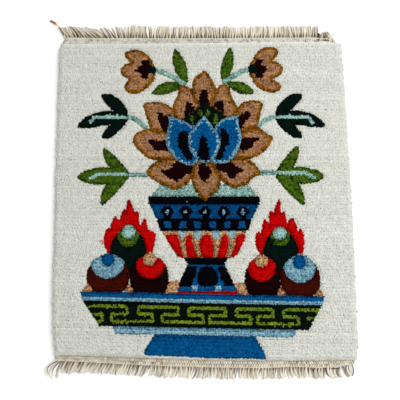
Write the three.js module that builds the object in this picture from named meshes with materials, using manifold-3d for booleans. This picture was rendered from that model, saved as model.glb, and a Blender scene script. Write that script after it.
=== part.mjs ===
// A hand-knotted Tibetan seat rug: thick wool pile with a carved lotus in a vase, flaming
// jewels and an altar, a flat-woven band at each end, a twined cord along each band, and
// the cut warp ends as a fringe. Millimetres, +Z up, +Y towards the top of the pattern,
// the origin on the floor under the middle of the pile.
import * as THREE from "three";
import { mergeVertices } from "three/addons/utils/BufferGeometryUtils.js";
import Module from "manifold-3d";

const wasm = await Module();
wasm.setup();

// Driving dimensions
const pileHeight = 11; // the ground pile with its foundation
const rimRound = 2.5; // how far the pile's edges are rounded over
const relief = 1.4; // how far the motifs stand above the ground pile
const slope = 0.6; // how far a motif's carved side leans in
const groove = 0.5; // half the width left at the foot of a carved line
const bandHeight = 2.6; // the flat-woven end band between its ribs
const ribRise = 0.6; // how far a warp rib stands above the band
const partGap = 0.3; // between pieces that touch
const strandWidth = 2.2;
const strandHeight = 1.9;
const strandRoot = 1.5; // how deep a strand starts inside its band
const cordWidth = 1.8;
const cordInset = 1.6; // the twined cord's middle from the band's outer edge
const outlineSteps = 6; // straight pieces on one curved side of a motif
const discSides = 20;
const cordSteps = 24;
const cordSides = 6;

// The pile's outline, measured across the rug at heights up its sides
const sides = [
  { y: 196, left: -208.6, right: 204.7 },
  { y: 106, left: -207.9, right: 205.4 },
  { y: 20, left: -207.2, right: 206.1 },
  { y: -64, left: -205.1, right: 207.4 },
  { y: -145, left: -204.5, right: 208.7 },
  { y: -184, left: -202.2, right: 208.8 },
  { y: -205, left: -198.5, right: 208.3 },
];
const corners = {
  topLeft: [-203.2, 221],
  bottomLeft: [-194.9, -216],
  bottomRight: [205.7, -219.8],
  topRight: [203.3, 215.4],
};
// Where the pile ends and where the woven band ends, at places across the rug
const ends = [
  { x: -185, top: 221.1, bottom: -216.4, topBand: 233.2, bottomBand: -226 },
  { x: -135, top: 221.2, bottom: -218.3, topBand: 232.6, bottomBand: -228.4 },
  { x: -76, top: 221.3, bottom: -220.1, topBand: 232.4, bottomBand: -231.6 },
  { x: 0, top: 221.5, bottom: -221.9, topBand: 232.4, bottomBand: -234 },
  { x: 85, top: 222.5, bottom: -222.2, topBand: 233, bottomBand: -235.2 },
  { x: 128, top: 223, bottom: -221.6, topBand: 233.4, bottomBand: -233.4 },
  { x: 160, top: 223.3, bottom: -221.1, topBand: 233.6, bottomBand: -235.2 },
  { x: 180, top: 222, bottom: -220.6, topBand: 232.6, bottomBand: -233.2 },
];

// The two fringes: a reading every few centimetres of how far a strand reaches past its
// band, how far its tip lies to the side, and how far its middle bows
const topFringe = [
  { x: -201, reach: 15, aside: -18, bow: 0 },
  { x: -190, reach: 17, aside: -17, bow: 0 },
  { x: -160, reach: 17, aside: -15, bow: 1.5 },
  { x: -120, reach: 17, aside: -12, bow: 1 },
  { x: -85, reach: 18, aside: -3, bow: 0 },
  { x: -30, reach: 18, aside: 1, bow: 0.6 },
  { x: 30, reach: 18, aside: -1, bow: -0.6 },
  { x: 90, reach: 18, aside: 1, bow: 0.4 },
  { x: 140, reach: 18, aside: 1, bow: -0.6 },
  { x: 168, reach: 16, aside: -1, bow: 0 },
  { x: 182, reach: 13, aside: -4, bow: 0 },
  { x: 195, reach: 10, aside: 5, bow: 0 },
];
const bottomFringe = [
  { x: -194, reach: 16, aside: -21, bow: 0 },
  { x: -178, reach: 17, aside: -15, bow: 0 },
  { x: -150, reach: 13, aside: -9, bow: 0 },
  { x: -110, reach: 12, aside: -6, bow: -1 },
  { x: -60, reach: 12, aside: -4, bow: 1 },
  { x: 0, reach: 12, aside: -2, bow: 1 },
  { x: 60, reach: 12, aside: 0, bow: -1 },
  { x: 110, reach: 12, aside: 2, bow: -1.5 },
  { x: 160, reach: 12, aside: 3, bow: -2 },
  { x: 204, reach: 12, aside: 0, bow: 1 },
];
const strandsPerEnd = 94;
const strandTipSize = 0.7; // a strand at its tip, as a share of its root
const tipWander = 0.8; // how far a tip strays from its neighbours
const wanderTurn = 2.4; // radians from one strand's stray to the next
const stray = { root: [-199.5, 236], tip: [-223, 260.5], bow: 1.5 }; // one long warp end

// The pattern, in the order in which it is laid, the motifs in front last
const vaseMiddle = 4.3; // the vase and flower stand a little right of the middle
const altarTilt = -0.02; // the altar and jewels sink this much for each mm to the right
const motifs = [];

// A petal or leaf from its base to its tip: left and right are its half widths, low and
// full say how near to the base and to the tip it is still wide, root how wide it starts
function petal({ base, tip, left, right = left, low = 0.25, full = 0.75, root = 0 }) {
  const from = new THREE.Vector2(...base);
  const along = new THREE.Vector2(...tip).sub(from);
  const across = new THREE.Vector2(-along.y, along.x).normalize();
  const at = (share, out) =>
    from.clone().addScaledVector(along, share).addScaledVector(across, out);
  const pull = (half) => (half - root / 8) / 0.75; // so that the curve passes at the half width
  const shape = new THREE.Shape();
  const rightRoot = at(0, -root);
  const leftRoot = at(0, root);
  const end = at(1, 0);
  const corner = (a, b, c) => shape.bezierCurveTo(a.x, a.y, b.x, b.y, c.x, c.y);
  shape.moveTo(rightRoot.x, rightRoot.y);
  corner(at(low, -pull(right)), at(full, -pull(right)), end);
  corner(at(full, pull(left)), at(low, pull(left)), leftRoot);
  return shape;
}

function disc({ x, y, radius, tall = radius }) {
  const around = new THREE.EllipseCurve(x, y, radius, tall);
  return new THREE.Shape(around.getPoints(discSides).slice(1));
}

// The part of a disc that lies on the ball under it, both centred on one upright line
function cap({ x, ballY, ballRadius, rise, radius }) {
  const crossing = (rise ** 2 + ballRadius ** 2 - radius ** 2) / (2 * rise);
  const half = Math.sqrt(ballRadius ** 2 - crossing ** 2);
  const onBall = Math.atan2(crossing, half);
  const onCap = Math.atan2(crossing - rise, half);
  const shape = new THREE.Shape();
  shape.absarc(x, ballY, ballRadius, onBall, Math.PI - onBall);
  shape.absarc(x, ballY + rise, radius, Math.PI - onCap, 2 * Math.PI + onCap);
  return shape;
}

// A level band with slanted ends, from its top edge to its bottom edge
function band({ x, top, bottom, halfTop, halfBottom, tilt = 0 }) {
  const corner = (reach, y) => new THREE.Vector2(x + reach, y + tilt * (x + reach));
  return new THREE.Shape([
    corner(-halfTop, top),
    corner(-halfBottom, bottom),
    corner(halfBottom, bottom),
    corner(halfTop, top),
  ]);
}

// A stem of even width along a smooth line
function stem({ line, width }) {
  const curve = new THREE.SplineCurve(line.map((p) => new THREE.Vector2(...p)));
  const left = [];
  const right = [];
  for (let i = 0; i <= outlineSteps; i++) {
    const middle = curve.getPoint(i / outlineSteps);
    const way = curve.getTangent(i / outlineSteps);
    const across = new THREE.Vector2(-way.y, way.x).multiplyScalar(width / 2);
    left.push(middle.clone().add(across));
    right.push(middle.clone().sub(across));
  }
  return new THREE.Shape(right.concat(left.reverse()));
}

const mirrored = (point, side, x = 0, y = 0) => [x + side * point[0], y + point[1]];

// Sprigs: three leaves that grow from one joint, and the stem that leads to it
const sprigs = [
  {
    joint: [107, 111],
    stem: [[79, 93.5], [91, 105.5], [107, 111]],
    leaves: [
      { tip: [143.5, 143.3], upper: 12.5, lower: 5.5, full: 0.9 },
      { tip: [175, 96], upper: 15.5, lower: 5.5, full: 0.75 },
      { tip: [139, 79], upper: 7.5, lower: 8, full: 0.9 },
    ],
  },
  {
    joint: [104.5, 28.5],
    stem: [[77, 28], [92, 29], [106, 29]],
    leaves: [
      { tip: [136, 67.5], upper: 4.5, lower: 12, full: 0.75 },
      { tip: [173, 24.7], upper: 12, lower: 12, full: 0.85 },
      { tip: [140, -15.3], upper: 14, lower: 4.5, full: 0.75 },
    ],
  },
];
const flowerStemWidth = 6.5;
const sprigStemWidth = 5;
const leafRoot = 4;
for (const side of [-1, 1])
  for (const { joint, stem: way, leaves } of sprigs) {
    const line = way.map((point) => mirrored(point, side));
    motifs.push([stem({ line, width: sprigStemWidth })]);
    motifs.push(
      leaves.map(({ tip, upper, lower, full }) =>
        petal({
          base: mirrored(joint, side),
          tip: mirrored(tip, side),
          left: side > 0 ? upper : lower,
          right: side > 0 ? lower : upper,
          full,
          root: leafRoot,
        }),
      ),
    );
  }

// The two small flowers with their stems and leaves
const flowers = [
  {
    side: -1,
    heart: [-70, 179],
    stem: [[-67, 179.7], [-48, 174], [-22, 158]],
    upLeaf: { base: [-20.5, 160], tip: [-37.5, 213.6], left: 10.5, right: 7 },
    lowLeaf: { base: [-26, 157.5], tip: [-71.3, 144], left: 5.5, right: 12 },
  },
  {
    side: 1,
    heart: [72, 180.5],
    stem: [[70, 182], [52, 175], [31, 161]],
    upLeaf: { base: [30.6, 160], tip: [42.4, 215.9], left: 7, right: 9.5 },
    lowLeaf: { base: [37, 162], tip: [76.6, 146.4], left: 8, right: 8.5 },
  },
];
const lobes = [
  { reach: 38, rise: 25.5, outer: 16, inner: 9 },
  { reach: 46, rise: 0, outer: 11, inner: 11 },
  { reach: 39.5, rise: -26, outer: 15, inner: 9 },
];
for (const flower of flowers) {
  motifs.push([petal(flower.upLeaf)]);
  motifs.push([petal(flower.lowLeaf)]);
  motifs.push([stem({ line: flower.stem, width: flowerStemWidth })]);
  motifs.push(
    lobes.map(({ reach, rise, outer, inner }) => {
      const outerIsLeft = rise * flower.side > 0;
      return petal({
        base: flower.heart,
        tip: mirrored([reach, rise], flower.side, ...flower.heart),
        left: outerIsLeft ? outer : inner,
        right: outerIsLeft ? inner : outer,
        low: 0.1,
        full: 0.97,
        root: 3,
      });
    }),
  );
}

// The vase: rim, three bands, bowl, neck, foot and the strip it stands on
const vase = [
  { top: 13, bottom: -3.8, halfTop: 60, halfBottom: 75.5 },
  { top: -4, bottom: -14, halfTop: 77.5, halfBottom: 77.5 },
  { top: -14.4, bottom: -34.6, halfTop: 76, halfBottom: 66.5 },
  { top: -35, bottom: -50.8, halfTop: 66, halfBottom: 60.5 },
  { top: -51.2, bottom: -88, halfTop: 59, halfBottom: 37 },
  { top: -88, bottom: -97.5, halfTop: 30.5, halfBottom: 25 },
  { top: -98, bottom: -131, halfTop: 25, halfBottom: 38.5 },
  { top: -131, bottom: -140, halfTop: 43, halfBottom: 45 },
];
const footShift = 2.5; // the neck and foot stand further right than the bowl
vase.forEach((row, i) =>
  motifs.push([band({ x: vaseMiddle + (i > 4 ? footShift : 0), ...row })]),
);
// The red petals on the bowl, the outer two cut short by its sides
const bowlPetals = [
  { base: [-31, -87], tip: [-44, -56], half: 7 },
  { base: [-12, -87], tip: [-17, -57], half: 6.5 },
  { base: [7, -87], tip: [7.5, -56], half: 9.5 },
  { base: [26, -87], tip: [32, -57], half: 6.5 },
  { base: [44, -87], tip: [57, -56], half: 7 },
];
for (const { base, tip, half } of bowlPetals)
  motifs.push([petal({ base, tip, left: half, low: 0.1, full: 0.95, root: 5 })]);
motifs.push([
  petal({ base: [6.5, -127], tip: [6.5, -100], left: 14, low: 0.2, full: 1, root: 12 }),
]);

// The lotus: outer petals from the back to the front, the seed head, the blue petals
const lotus = [
  { base: [4, 118], tip: [5.2, 179.5], left: 17, right: 16.5, low: 0.3, full: 0.72, root: 10 },
  { base: [-37, 62.5], tip: [-97, 80.5], left: 20, right: 17.5, full: 0.95, root: 14 },
  { base: [44.9, 62.5], tip: [100.6, 81.3], left: 20.5, right: 17, full: 0.9, root: 14 },
  { base: [-41, 94], tip: [-80.2, 128.9], left: 20, right: 19, full: 0.9, root: 16 },
  { base: [49.5, 94], tip: [87.5, 131], left: 19.5, right: 17.5, full: 0.9, root: 16 },
  { base: [-17, 107.5], tip: [-24, 157.5], left: 20, right: 19, full: 0.9, root: 12 },
  { base: [24, 110], tip: [31, 158], left: 17, right: 21, full: 0.9, root: 12 },
  { base: [-14, 28], tip: [-76.5, 32.4], left: 22, right: 17, low: 0.1, full: 0.85, root: 14 },
  { base: [20, 28], tip: [83.5, 31.8], left: 18, right: 20, low: 0.1, full: 0.85, root: 14 },
  { base: [6, 47], tip: [6.2, -12.2], left: 21.5, low: 0.3, full: 0.72, root: 10 },
  { base: [4, 92], tip: [4, 131], left: 31, low: 0.2, full: 0.85, root: 26 },
  { base: [-10, 43], tip: [-46.5, 110.5], left: 20, right: 25, low: 0.05, full: 0.85 },
  { base: [18, 43.5], tip: [53, 112.4], left: 25, right: 20, low: 0.05, full: 0.85 },
  { base: [4, 46.7], tip: [3.8, 111.6], left: 23, low: -0.05, full: 0.7 },
];
for (const row of lotus) motifs.push([petal(row)]);

// One flame, measured from its highest tip: its tongues from the vase's side round to
// the outer side, a row for each tongue's tip and the notch or bend after it
const flameFoot = [30, -76];
const tongues = [
  { tip: [33, -70], after: [37, -50] },
  { tip: [36, -44], after: [26, -41.5] },
  { tip: [21.7, -26], after: [16.4, -34] },
  { tip: [11.6, -14.8], after: [8.2, -16.5] },
  { tip: [0, 0], after: [-3.8, -14.5] },
  { tip: [-6.4, -12.4], after: [-13.4, -28] },
  { tip: [-18.3, -22.5], after: [-26.6, -41] },
  { tip: [-29.3, -38], after: [-35, -57] },
];
function flame({ x, y, side }) {
  const points = [flameFoot];
  for (const { tip, after } of tongues) points.push(tip, after);
  points.push([-flameFoot[0], flameFoot[1]]);
  return new THREE.Shape(points.map((p) => new THREE.Vector2(...mirrored(p, -side, x, y))));
}

// The three jewels under each flame, from the flame's middle: a ball, its lighter cap
// and the bead on top. The first stands behind the others and is an upright oval.
const jewels = [
  { aside: 0, y: -79.5, radius: 25, tall: 35, rise: 21, cap: 15.5, up: 26, bead: 10 },
  { aside: 27, y: -114, radius: 28.5, tall: 28.5, rise: 20.5, cap: 24.3, up: 20.8, bead: 8.8 },
  { aside: -27, y: -113.5, radius: 26.4, tall: 26.4, rise: 15, cap: 19.8, up: 21, bead: 9.3 },
];
const flames = [
  { side: -1, x: -100.5, y: -7.5 },
  { side: 1, x: 108.5, y: -7.2 },
];
const gems = [-154, -99, -37, 53, 109.5, 160]; // small tan gems between the jewels
const gemHeight = -131;
const gemRadius = 8.5;
for (const x of gems)
  motifs.push([disc({ x, y: gemHeight + altarTilt * x, radius: gemRadius })]);
for (const { side, x: middle, y: top } of flames) {
  motifs.push([flame({ x: middle, y: top, side })]);
  for (const { aside, y: height, radius, tall, rise, cap: capRadius, up, bead } of jewels) {
    const x = middle + side * aside;
    const y = height + altarTilt * x;
    const round = tall === radius;
    motifs.push([disc({ x, y, radius, tall })]);
    motifs.push([
      round
        ? cap({ x, ballY: y, ballRadius: radius, rise, radius: capRadius })
        : disc({ x, y: y + rise, radius: capRadius }),
    ]);
    motifs.push([disc({ x, y: y + up, radius: bead })]);
  }
}

// The altar: table edge, fretted panel, pale band and foot
const altar = [
  { top: -136.9, bottom: -149.1, halfTop: 164.6, halfBottom: 161.5 },
  { top: -149.1, bottom: -181, halfTop: 159, halfBottom: 140 },
  { top: -181, bottom: -190.3, halfTop: 122, halfBottom: 119.5 },
  { top: -190.3, bottom: -218.5, halfTop: 68, halfBottom: 82 },
];
const altarMiddle = 3;
for (const row of altar)
  motifs.push([band({ x: altarMiddle, tilt: altarTilt, ...row })]);

// A closed geometry as a solid, its faces turned out
function solidOf(geometry) {
  const bare = geometry.index ? geometry.toNonIndexed() : geometry;
  bare.deleteAttribute("normal");
  bare.deleteAttribute("uv");
  const merged = mergeVertices(bare, 1e-4);
  const vertProperties = merged.attributes.position.array;
  const triVerts = new Uint32Array(merged.index.array);
  const made = () => new wasm.Manifold(new wasm.Mesh({ numProp: 3, vertProperties, triVerts }));
  if (made().volume() > 0) return made();
  for (let i = 0; i < triVerts.length; i += 3)
    [triVerts[i], triVerts[i + 1]] = [triVerts[i + 1], triVerts[i]];
  return made();
}

// A skin over rings of equally many points, closed at both ends
function loft(rings) {
  const size = rings[0].length;
  const index = [];
  for (let ring = 0; ring + 1 < rings.length; ring++)
    for (let i = 0; i < size; i++) {
      const a = ring * size + i;
      const b = ring * size + ((i + 1) % size);
      index.push(a, b, b + size, a, b + size, a + size);
    }
  const last = (rings.length - 1) * size;
  for (let i = 1; i + 1 < size; i++) {
    index.push(0, i + 1, i);
    index.push(last, last + i, last + i + 1);
  }
  const geometry = new THREE.BufferGeometry().setFromPoints(rings.flat());
  geometry.setIndex(index);
  return solidOf(geometry);
}

// The pile: a rounded slab, on which each motif is carved free and set proud
function pileSolid() {
  const { topLeft, bottomLeft, bottomRight, topRight } = corners;
  const outline = [
    topLeft,
    ...sides.map(({ y, left }) => [left, y]),
    bottomLeft,
    ...ends.map(({ x, bottom }) => [x, bottom]),
    bottomRight,
    ...sides.map(({ y, right }) => [right, y]).reverse(),
    topRight,
    ...ends.map(({ x, top }) => [x, top]).reverse(),
  ];
  const shape = new THREE.Shape(outline.map((p) => new THREE.Vector2(...p)));
  const slab = new THREE.ExtrudeGeometry(shape, {
    depth: pileHeight - 2 * rimRound,
    bevelThickness: rimRound,
    bevelSize: rimRound,
    bevelOffset: -rimRound,
    bevelSegments: 2,
  }).translate(0, 0, rimRound);
  const sunk = 2 * relief; // a motif's hidden foot inside the slab
  const raised = (motif) =>
    new THREE.ExtrudeGeometry(motif, {
      curveSegments: outlineSteps,
      depth: sunk,
      bevelThickness: relief,
      bevelSize: slope,
      bevelOffset: -slope,
      bevelSegments: 1,
    }).translate(0, 0, pileHeight - sunk);
  const carved = (motif) =>
    new THREE.ExtrudeGeometry(motif, {
      curveSegments: outlineSteps,
      depth: sunk,
      bevelThickness: relief,
      bevelSize: slope,
      bevelOffset: groove,
      bevelSegments: 1,
    }).translate(0, 0, pileHeight + relief);
  let pile = solidOf(slab);
  for (const motif of motifs) {
    for (const part of motif) pile = pile.subtract(solidOf(carved(part)));
    for (const part of motif) pile = pile.add(solidOf(raised(part)));
  }
  return pile;
}

// A value between the rows of a table, by their x
function between(rows, column, x) {
  const next = rows.findIndex((row) => row.x > x);
  const after = next < 0 ? rows.length - 1 : Math.max(next, 1);
  const [a, b] = [rows[after - 1], rows[after]];
  return THREE.MathUtils.mapLinear(x, a.x, b.x, a[column], b[column]);
}

// One loose warp end: a three-sided strand lying on the floor from its root to its tip
function strand(root, tip, bow) {
  const from = new THREE.Vector2(...root);
  const way = new THREE.Vector2(...tip).sub(from);
  const across = new THREE.Vector2(-way.y, way.x).normalize();
  const ring = (share, size) => {
    const middle = from.clone().addScaledVector(way, share);
    middle.addScaledVector(across, 4 * bow * share * (1 - share));
    const foot = across.clone().multiplyScalar((strandWidth * size) / 2);
    return [
      new THREE.Vector3(middle.x - foot.x, middle.y - foot.y, 0),
      new THREE.Vector3(middle.x + foot.x, middle.y + foot.y, 0),
      new THREE.Vector3(middle.x, middle.y, strandHeight * size),
    ];
  };
  return loft([ring(0, 1), ring(0.5, 1), ring(1, strandTipSize)]);
}

// A woven band with a rib over each warp end, and its fringe; facing is 1 at the top
function fringedBand({ facing, pileColumn, bandColumn, from, to, fringe }) {
  const pitch = (to - from) / strandsPerEnd;
  const inner = (x) => between(ends, pileColumn, x) + facing * partGap;
  const outer = (x) => between(ends, bandColumn, x);
  const rings = [];
  for (let half = 0; half <= 2 * strandsPerEnd; half++) {
    const x = from + (half * pitch) / 2;
    const z = bandHeight + (half % 2) * ribRise;
    rings.push([
      new THREE.Vector3(x, inner(x), 0),
      new THREE.Vector3(x, outer(x), 0),
      new THREE.Vector3(x, outer(x), z),
      new THREE.Vector3(x, inner(x), z),
    ]);
  }
  let solid = loft(rings);
  for (let i = 0; i < strandsPerEnd; i++) {
    const x = from + (i + 0.5) * pitch;
    const wander = tipWander * Math.sin(i * wanderTurn);
    const length = between(fringe, "reach", x) + wander;
    const aside = between(fringe, "aside", x) + wander * Math.cos(i);
    const root = [x, outer(x) - facing * strandRoot];
    const tip = [x + aside, outer(x) + facing * length];
    solid = solid.add(strand(root, tip, between(fringe, "bow", x)));
  }
  return solid;
}

// The cord that is twined over the warp ends along the outer edge of a band
function twinedCord({ facing, bandColumn, from, to }) {
  const radius = cordWidth / 2;
  const height = bandHeight + ribRise + partGap + radius;
  const places = [from, ...ends.map(({ x }) => x).filter((x) => x > from && x < to), to];
  const route = places.map(
    (x) => new THREE.Vector3(x, between(ends, bandColumn, x) - facing * cordInset, height),
  );
  const section = new THREE.Shape();
  section.absarc(0, 0, radius, 0, 2 * Math.PI);
  return solidOf(
    new THREE.ExtrudeGeometry(section, {
      steps: cordSteps,
      curveSegments: cordSides / 2,
      bevelEnabled: false,
      extrudePath: new THREE.CatmullRomCurve3(route),
    }),
  );
}

function meshOf(name, solid, colour, roughness) {
  const { vertProperties, triVerts } = solid.getMesh();
  const geometry = new THREE.BufferGeometry();
  geometry.setAttribute("position", new THREE.BufferAttribute(vertProperties, 3));
  geometry.setIndex(new THREE.BufferAttribute(triVerts, 1));
  geometry.computeVertexNormals();
  const material = new THREE.MeshStandardMaterial({ color: colour, roughness, metalness: 0 });
  const mesh = new THREE.Mesh(geometry, material);
  mesh.name = name;
  return mesh;
}

const woolIvory = "#cdcec6";
const cottonEcru = "#d9cfb8";
const twineCream = "#e2d8c2";
const topEnd = { facing: 1, bandColumn: "topBand", from: -202, to: 197 };
const bottomEnd = { facing: -1, bandColumn: "bottomBand", from: -194, to: 205 };
const topBand = fringedBand({ ...topEnd, pileColumn: "top", fringe: topFringe }).add(
  strand(stray.root, stray.tip, stray.bow),
);
const bottomBand = fringedBand({ ...bottomEnd, pileColumn: "bottom", fringe: bottomFringe });

const rug = new THREE.Group();
rug.add(
  meshOf("pile", pileSolid(), woolIvory, 0.95),
  meshOf("fringed_band_top", topBand, cottonEcru, 0.9),
  meshOf("fringed_band_bottom", bottomBand, cottonEcru, 0.9),
  meshOf("twined_cord_top", twinedCord(topEnd), twineCream, 0.85),
  meshOf("twined_cord_bottom", twinedCord(bottomEnd), twineCream, 0.85),
);

export default rug;
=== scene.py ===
import math

import bpy
import numpy as np
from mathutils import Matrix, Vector


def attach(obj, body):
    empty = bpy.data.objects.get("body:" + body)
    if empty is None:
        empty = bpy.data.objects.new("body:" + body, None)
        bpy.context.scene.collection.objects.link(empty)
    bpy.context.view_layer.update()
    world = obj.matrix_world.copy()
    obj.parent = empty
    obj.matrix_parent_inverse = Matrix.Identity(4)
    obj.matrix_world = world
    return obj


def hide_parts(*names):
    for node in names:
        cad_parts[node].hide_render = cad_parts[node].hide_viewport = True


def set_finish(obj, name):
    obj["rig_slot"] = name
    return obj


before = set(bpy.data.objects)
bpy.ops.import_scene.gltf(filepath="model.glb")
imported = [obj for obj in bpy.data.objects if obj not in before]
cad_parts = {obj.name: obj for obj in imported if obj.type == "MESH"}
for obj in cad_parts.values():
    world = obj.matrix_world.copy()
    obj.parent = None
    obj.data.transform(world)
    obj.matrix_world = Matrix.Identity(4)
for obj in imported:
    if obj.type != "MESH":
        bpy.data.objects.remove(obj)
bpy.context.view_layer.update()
METRES = 0.001
chance = np.random.default_rng(20)

# Camera: it stands over the rug, a little towards its lower end, and looks almost
# straight down, 0.6 m from the pile.
camera_place = Vector((-1.6, -80.4, 604.7)) * METRES
camera_aim = Vector((-1.6, -8.6, 11)) * METRES
focal_pixels, picture_pixels, sensor = 430, 400, 36
camera = bpy.data.objects.new("camera", bpy.data.cameras.new("camera"))
camera.data.sensor_width = sensor
camera.data.lens = sensor * focal_pixels / picture_pixels
camera.location = camera_place
camera.rotation_euler = (camera_aim - camera_place).to_track_quat("-Z", "Y").to_euler()
bpy.context.scene.collection.objects.link(camera)
bpy.context.scene.camera = camera


# Shader arithmetic: a Value is a number that varies over a surface, and a Finish is a
# material whose plain values are set by name and whose varying ones come from nodes.
class Value:
    def __init__(self, finish, socket):
        self.finish = finish
        self.socket = socket

    def maths(self, operation, first, second):
        settings = {"operation": operation}
        return self.finish.node("ShaderNodeMath", settings, {0: first, 1: second})

    def __add__(self, other):
        return self.maths("ADD", self, other)

    def __mul__(self, other):
        return self.maths("MULTIPLY", self, other)

    def __sub__(self, other):
        return self.maths("SUBTRACT", self, other)

    def __rsub__(self, other):
        return self.maths("SUBTRACT", other, self)

    __radd__ = __add__
    __rmul__ = __mul__


class Finish:
    def __init__(self, name, **plain):
        self.material = bpy.data.materials.new(name)
        self.material.use_nodes = True
        self.tree = self.material.node_tree
        self.shader = self.tree.nodes["Principled BSDF"]
        for socket, value in plain.items():
            self.set(socket.replace("_", " "), value)

    def set(self, socket, value):
        self.fill(self.shader.inputs[socket], value)

    def fill(self, socket, value):
        if isinstance(value, Value):
            self.tree.links.new(value.socket, socket)
        else:
            socket.default_value = value

    def node(self, kind, settings, inputs, output=0):
        node = self.tree.nodes.new(kind)
        for setting, value in settings.items():
            setattr(node, setting, value)
        for socket, value in inputs.items():
            self.fill(node.inputs[socket], value)
        return Value(self, node.outputs[output])

    def blend(self, first, second, share):
        settings = {"data_type": "RGBA"}
        return self.node("ShaderNodeMix", settings, {0: share, 6: first, 7: second}, 2)

    def noise(self, size, detail=2, stretch=(1, 1, 1), distortion=0):
        """Cloudy values round 0.5 with lumps of this size in millimetres."""
        place = self.node("ShaderNodeTexCoord", {}, {}, "Object")
        scaled = self.node(
            "ShaderNodeVectorMath", {"operation": "MULTIPLY"}, {0: place, 1: stretch}
        )
        inputs = {"Vector": scaled, "Scale": 1 / (size * METRES), "Detail": detail}
        inputs["Distortion"] = distortion
        return self.node("ShaderNodeTexNoise", {}, inputs)

    def bump(self, height, depth, strength=1):
        inputs = {"Height": height, "Distance": depth * METRES, "Strength": strength}
        self.set("Normal", self.node("ShaderNodeBump", {}, inputs))


def linear(red, green, blue):
    """A colour as the eye reads it off a screen, 0 to 255, as a shader wants it."""
    return tuple((c / 255) ** 2.2 for c in (red, green, blue)) + (1,)


# Studio: a white floor, a large soft lamp over the upper right and an even white
# surround, so that the rug throws only a faint shadow to its lower left.
floor_finish = Finish("floor_white", Base_Color=(0.93, 0.93, 0.93, 1), Roughness=0.9)
bpy.ops.mesh.primitive_plane_add(size=6, location=(0, 0, -0.0002))
floor = bpy.context.object
floor.name = "floor"
floor.data.materials.append(floor_finish.material)

lamp = bpy.data.objects.new("lamp", bpy.data.lights.new("lamp", "AREA"))
lamp.data.size = 1.2
lamp.data.energy = 20
lamp.location = (0.62, 0.18, 1.2)
lamp.rotation_euler = (-lamp.location).to_track_quat("-Z", "Y").to_euler()
bpy.context.scene.collection.objects.link(lamp)

world = bpy.data.worlds.new("surround")
world.use_nodes = True
world.node_tree.nodes["Background"].inputs["Color"].default_value = (1, 1, 1, 1)
world.node_tree.nodes["Background"].inputs["Strength"].default_value = 0.58
bpy.context.scene.world = world
bpy.context.scene.view_settings.view_transform = "Standard"

# The rug's outline, which every piece keeps to: how far it reaches to both sides at
# heights up the rug, and where pile and flat weave end at places across it.
corner_left_bottom, corner_right_bottom = (-195.4, -219.3), (207.6, -224.7)
corner_left_top, corner_right_top = (-203.4, 221), (202.4, 222)
sides = np.array(
    [
        (-218, -195.2, 209.8),
        (-205, -198, 211.2),
        (-184, -200.6, 211.2),
        (-145, -202.8, 211),
        (-64, -203.4, 211),
        (20, -205.4, 210.4),
        (106, -206.2, 208.5),
        (196, -206.8, 206),
        (212, -207.2, 205.4),
        (219, -204.6, 204),
    ]
)
ends = np.array(
    [
        (-195, 222, -219.6, 233.4, -225.4),
        (-185, 222.2, -218.2, 233.2, -226),
        (-135, 222.3, -219.2, 232.6, -228.4),
        (-76, 222.8, -221.6, 232.4, -231.6),
        (0, 223.5, -224.1, 232.4, -234),
        (85, 224.8, -225.1, 233, -235.2),
        (128, 225.4, -225.1, 233.4, -233.4),
        (160, 225.4, -224.8, 233.6, -235.2),
        (180, 225, -224.7, 232.6, -233.2),
        (203.3, 222.6, -224.5, 231, -231),
    ]
)
pile_height = 11


def left_side(y):
    return np.interp(y, sides[:, 0], sides[:, 1])


def right_side(y):
    return np.interp(y, sides[:, 0], sides[:, 2])


def end_line(x, column):
    """The pile's top 1 or bottom 2, or the flat weave's top 3 or bottom 4."""
    return np.interp(x, ends[:, 0], ends[:, column])


pile_outline = np.vstack(
    [
        corner_left_top,
        sides[-2:0:-1, [1, 0]],
        corner_left_bottom,
        ends[1:-1, [0, 2]],
        corner_right_bottom,
        sides[1:-1, [2, 0]],
        corner_right_top,
        ends[-2:0:-1, [0, 1]],
    ]
)

# The knots: 97 rows of 97, each with two by two cut yarn ends. Rows follow the woven ends
# at the rug's edges and sink to the right under the vase, as the weaving does.
columns = rows = 97
ends_of_knot = 2
rug_left, rug_width, rug_bottom, rug_height = -206, 413, -221, 442.5
low_tilt, level_from, level_over, bow_fade = -0.02, 0.4, 0.2, 8
far = 99.0  # a distance, in millimetres, past all that counts


def placed(u, v):
    """Where a point u knots from the left and v rows up lies on the pile."""
    up = v / rows
    x = rug_left + rug_width * u / columns
    for _ in range(3):
        tilt = low_tilt * np.clip((level_from - up) / level_over, 0, 1)
        y = rug_bottom + rug_height * up + tilt * x
        low_bow = end_line(x, 2) - rug_bottom - low_tilt * x
        high_bow = end_line(x, 1) - (rug_bottom + rug_height)
        y = y + low_bow * (1 - up) ** bow_fade + high_bow * up**bow_fade
        x = left_side(y) + (right_side(y) - left_side(y)) * u / columns
    return np.stack([x, y], axis=-1)


steps = (np.arange(ends_of_knot * columns) + 0.5) / ends_of_knot
column_of, row_of = (a.ravel() for a in np.meshgrid(steps, steps))
closer = 0.04  # the two ends of a knot stand closer than two rows, which leaves a line
stagger_half, jitter, looseness = 0.25, (0.36, 0.24), 0.55
row_shift = closer * np.sign(np.floor(row_of) + 0.5 - row_of)
stagger = chance.uniform(-stagger_half, stagger_half, ends_of_knot * rows)
stagger = stagger[(row_of * ends_of_knot).astype(int)]
place = placed(column_of + stagger, row_of + row_shift)
place += chance.normal(0, 1, place.shape) * jitter
loose_place = place + chance.normal(0, looseness, place.shape)  # for ragged colour lines
count = len(place)
yarn_of = np.full(count, "", dtype="<U16")
free = np.ones(count, bool)
carved = np.full(count, far)  # how far each yarn end is from the nearest carved line
away = np.zeros((count, 2))  # the way from that line to it


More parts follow.
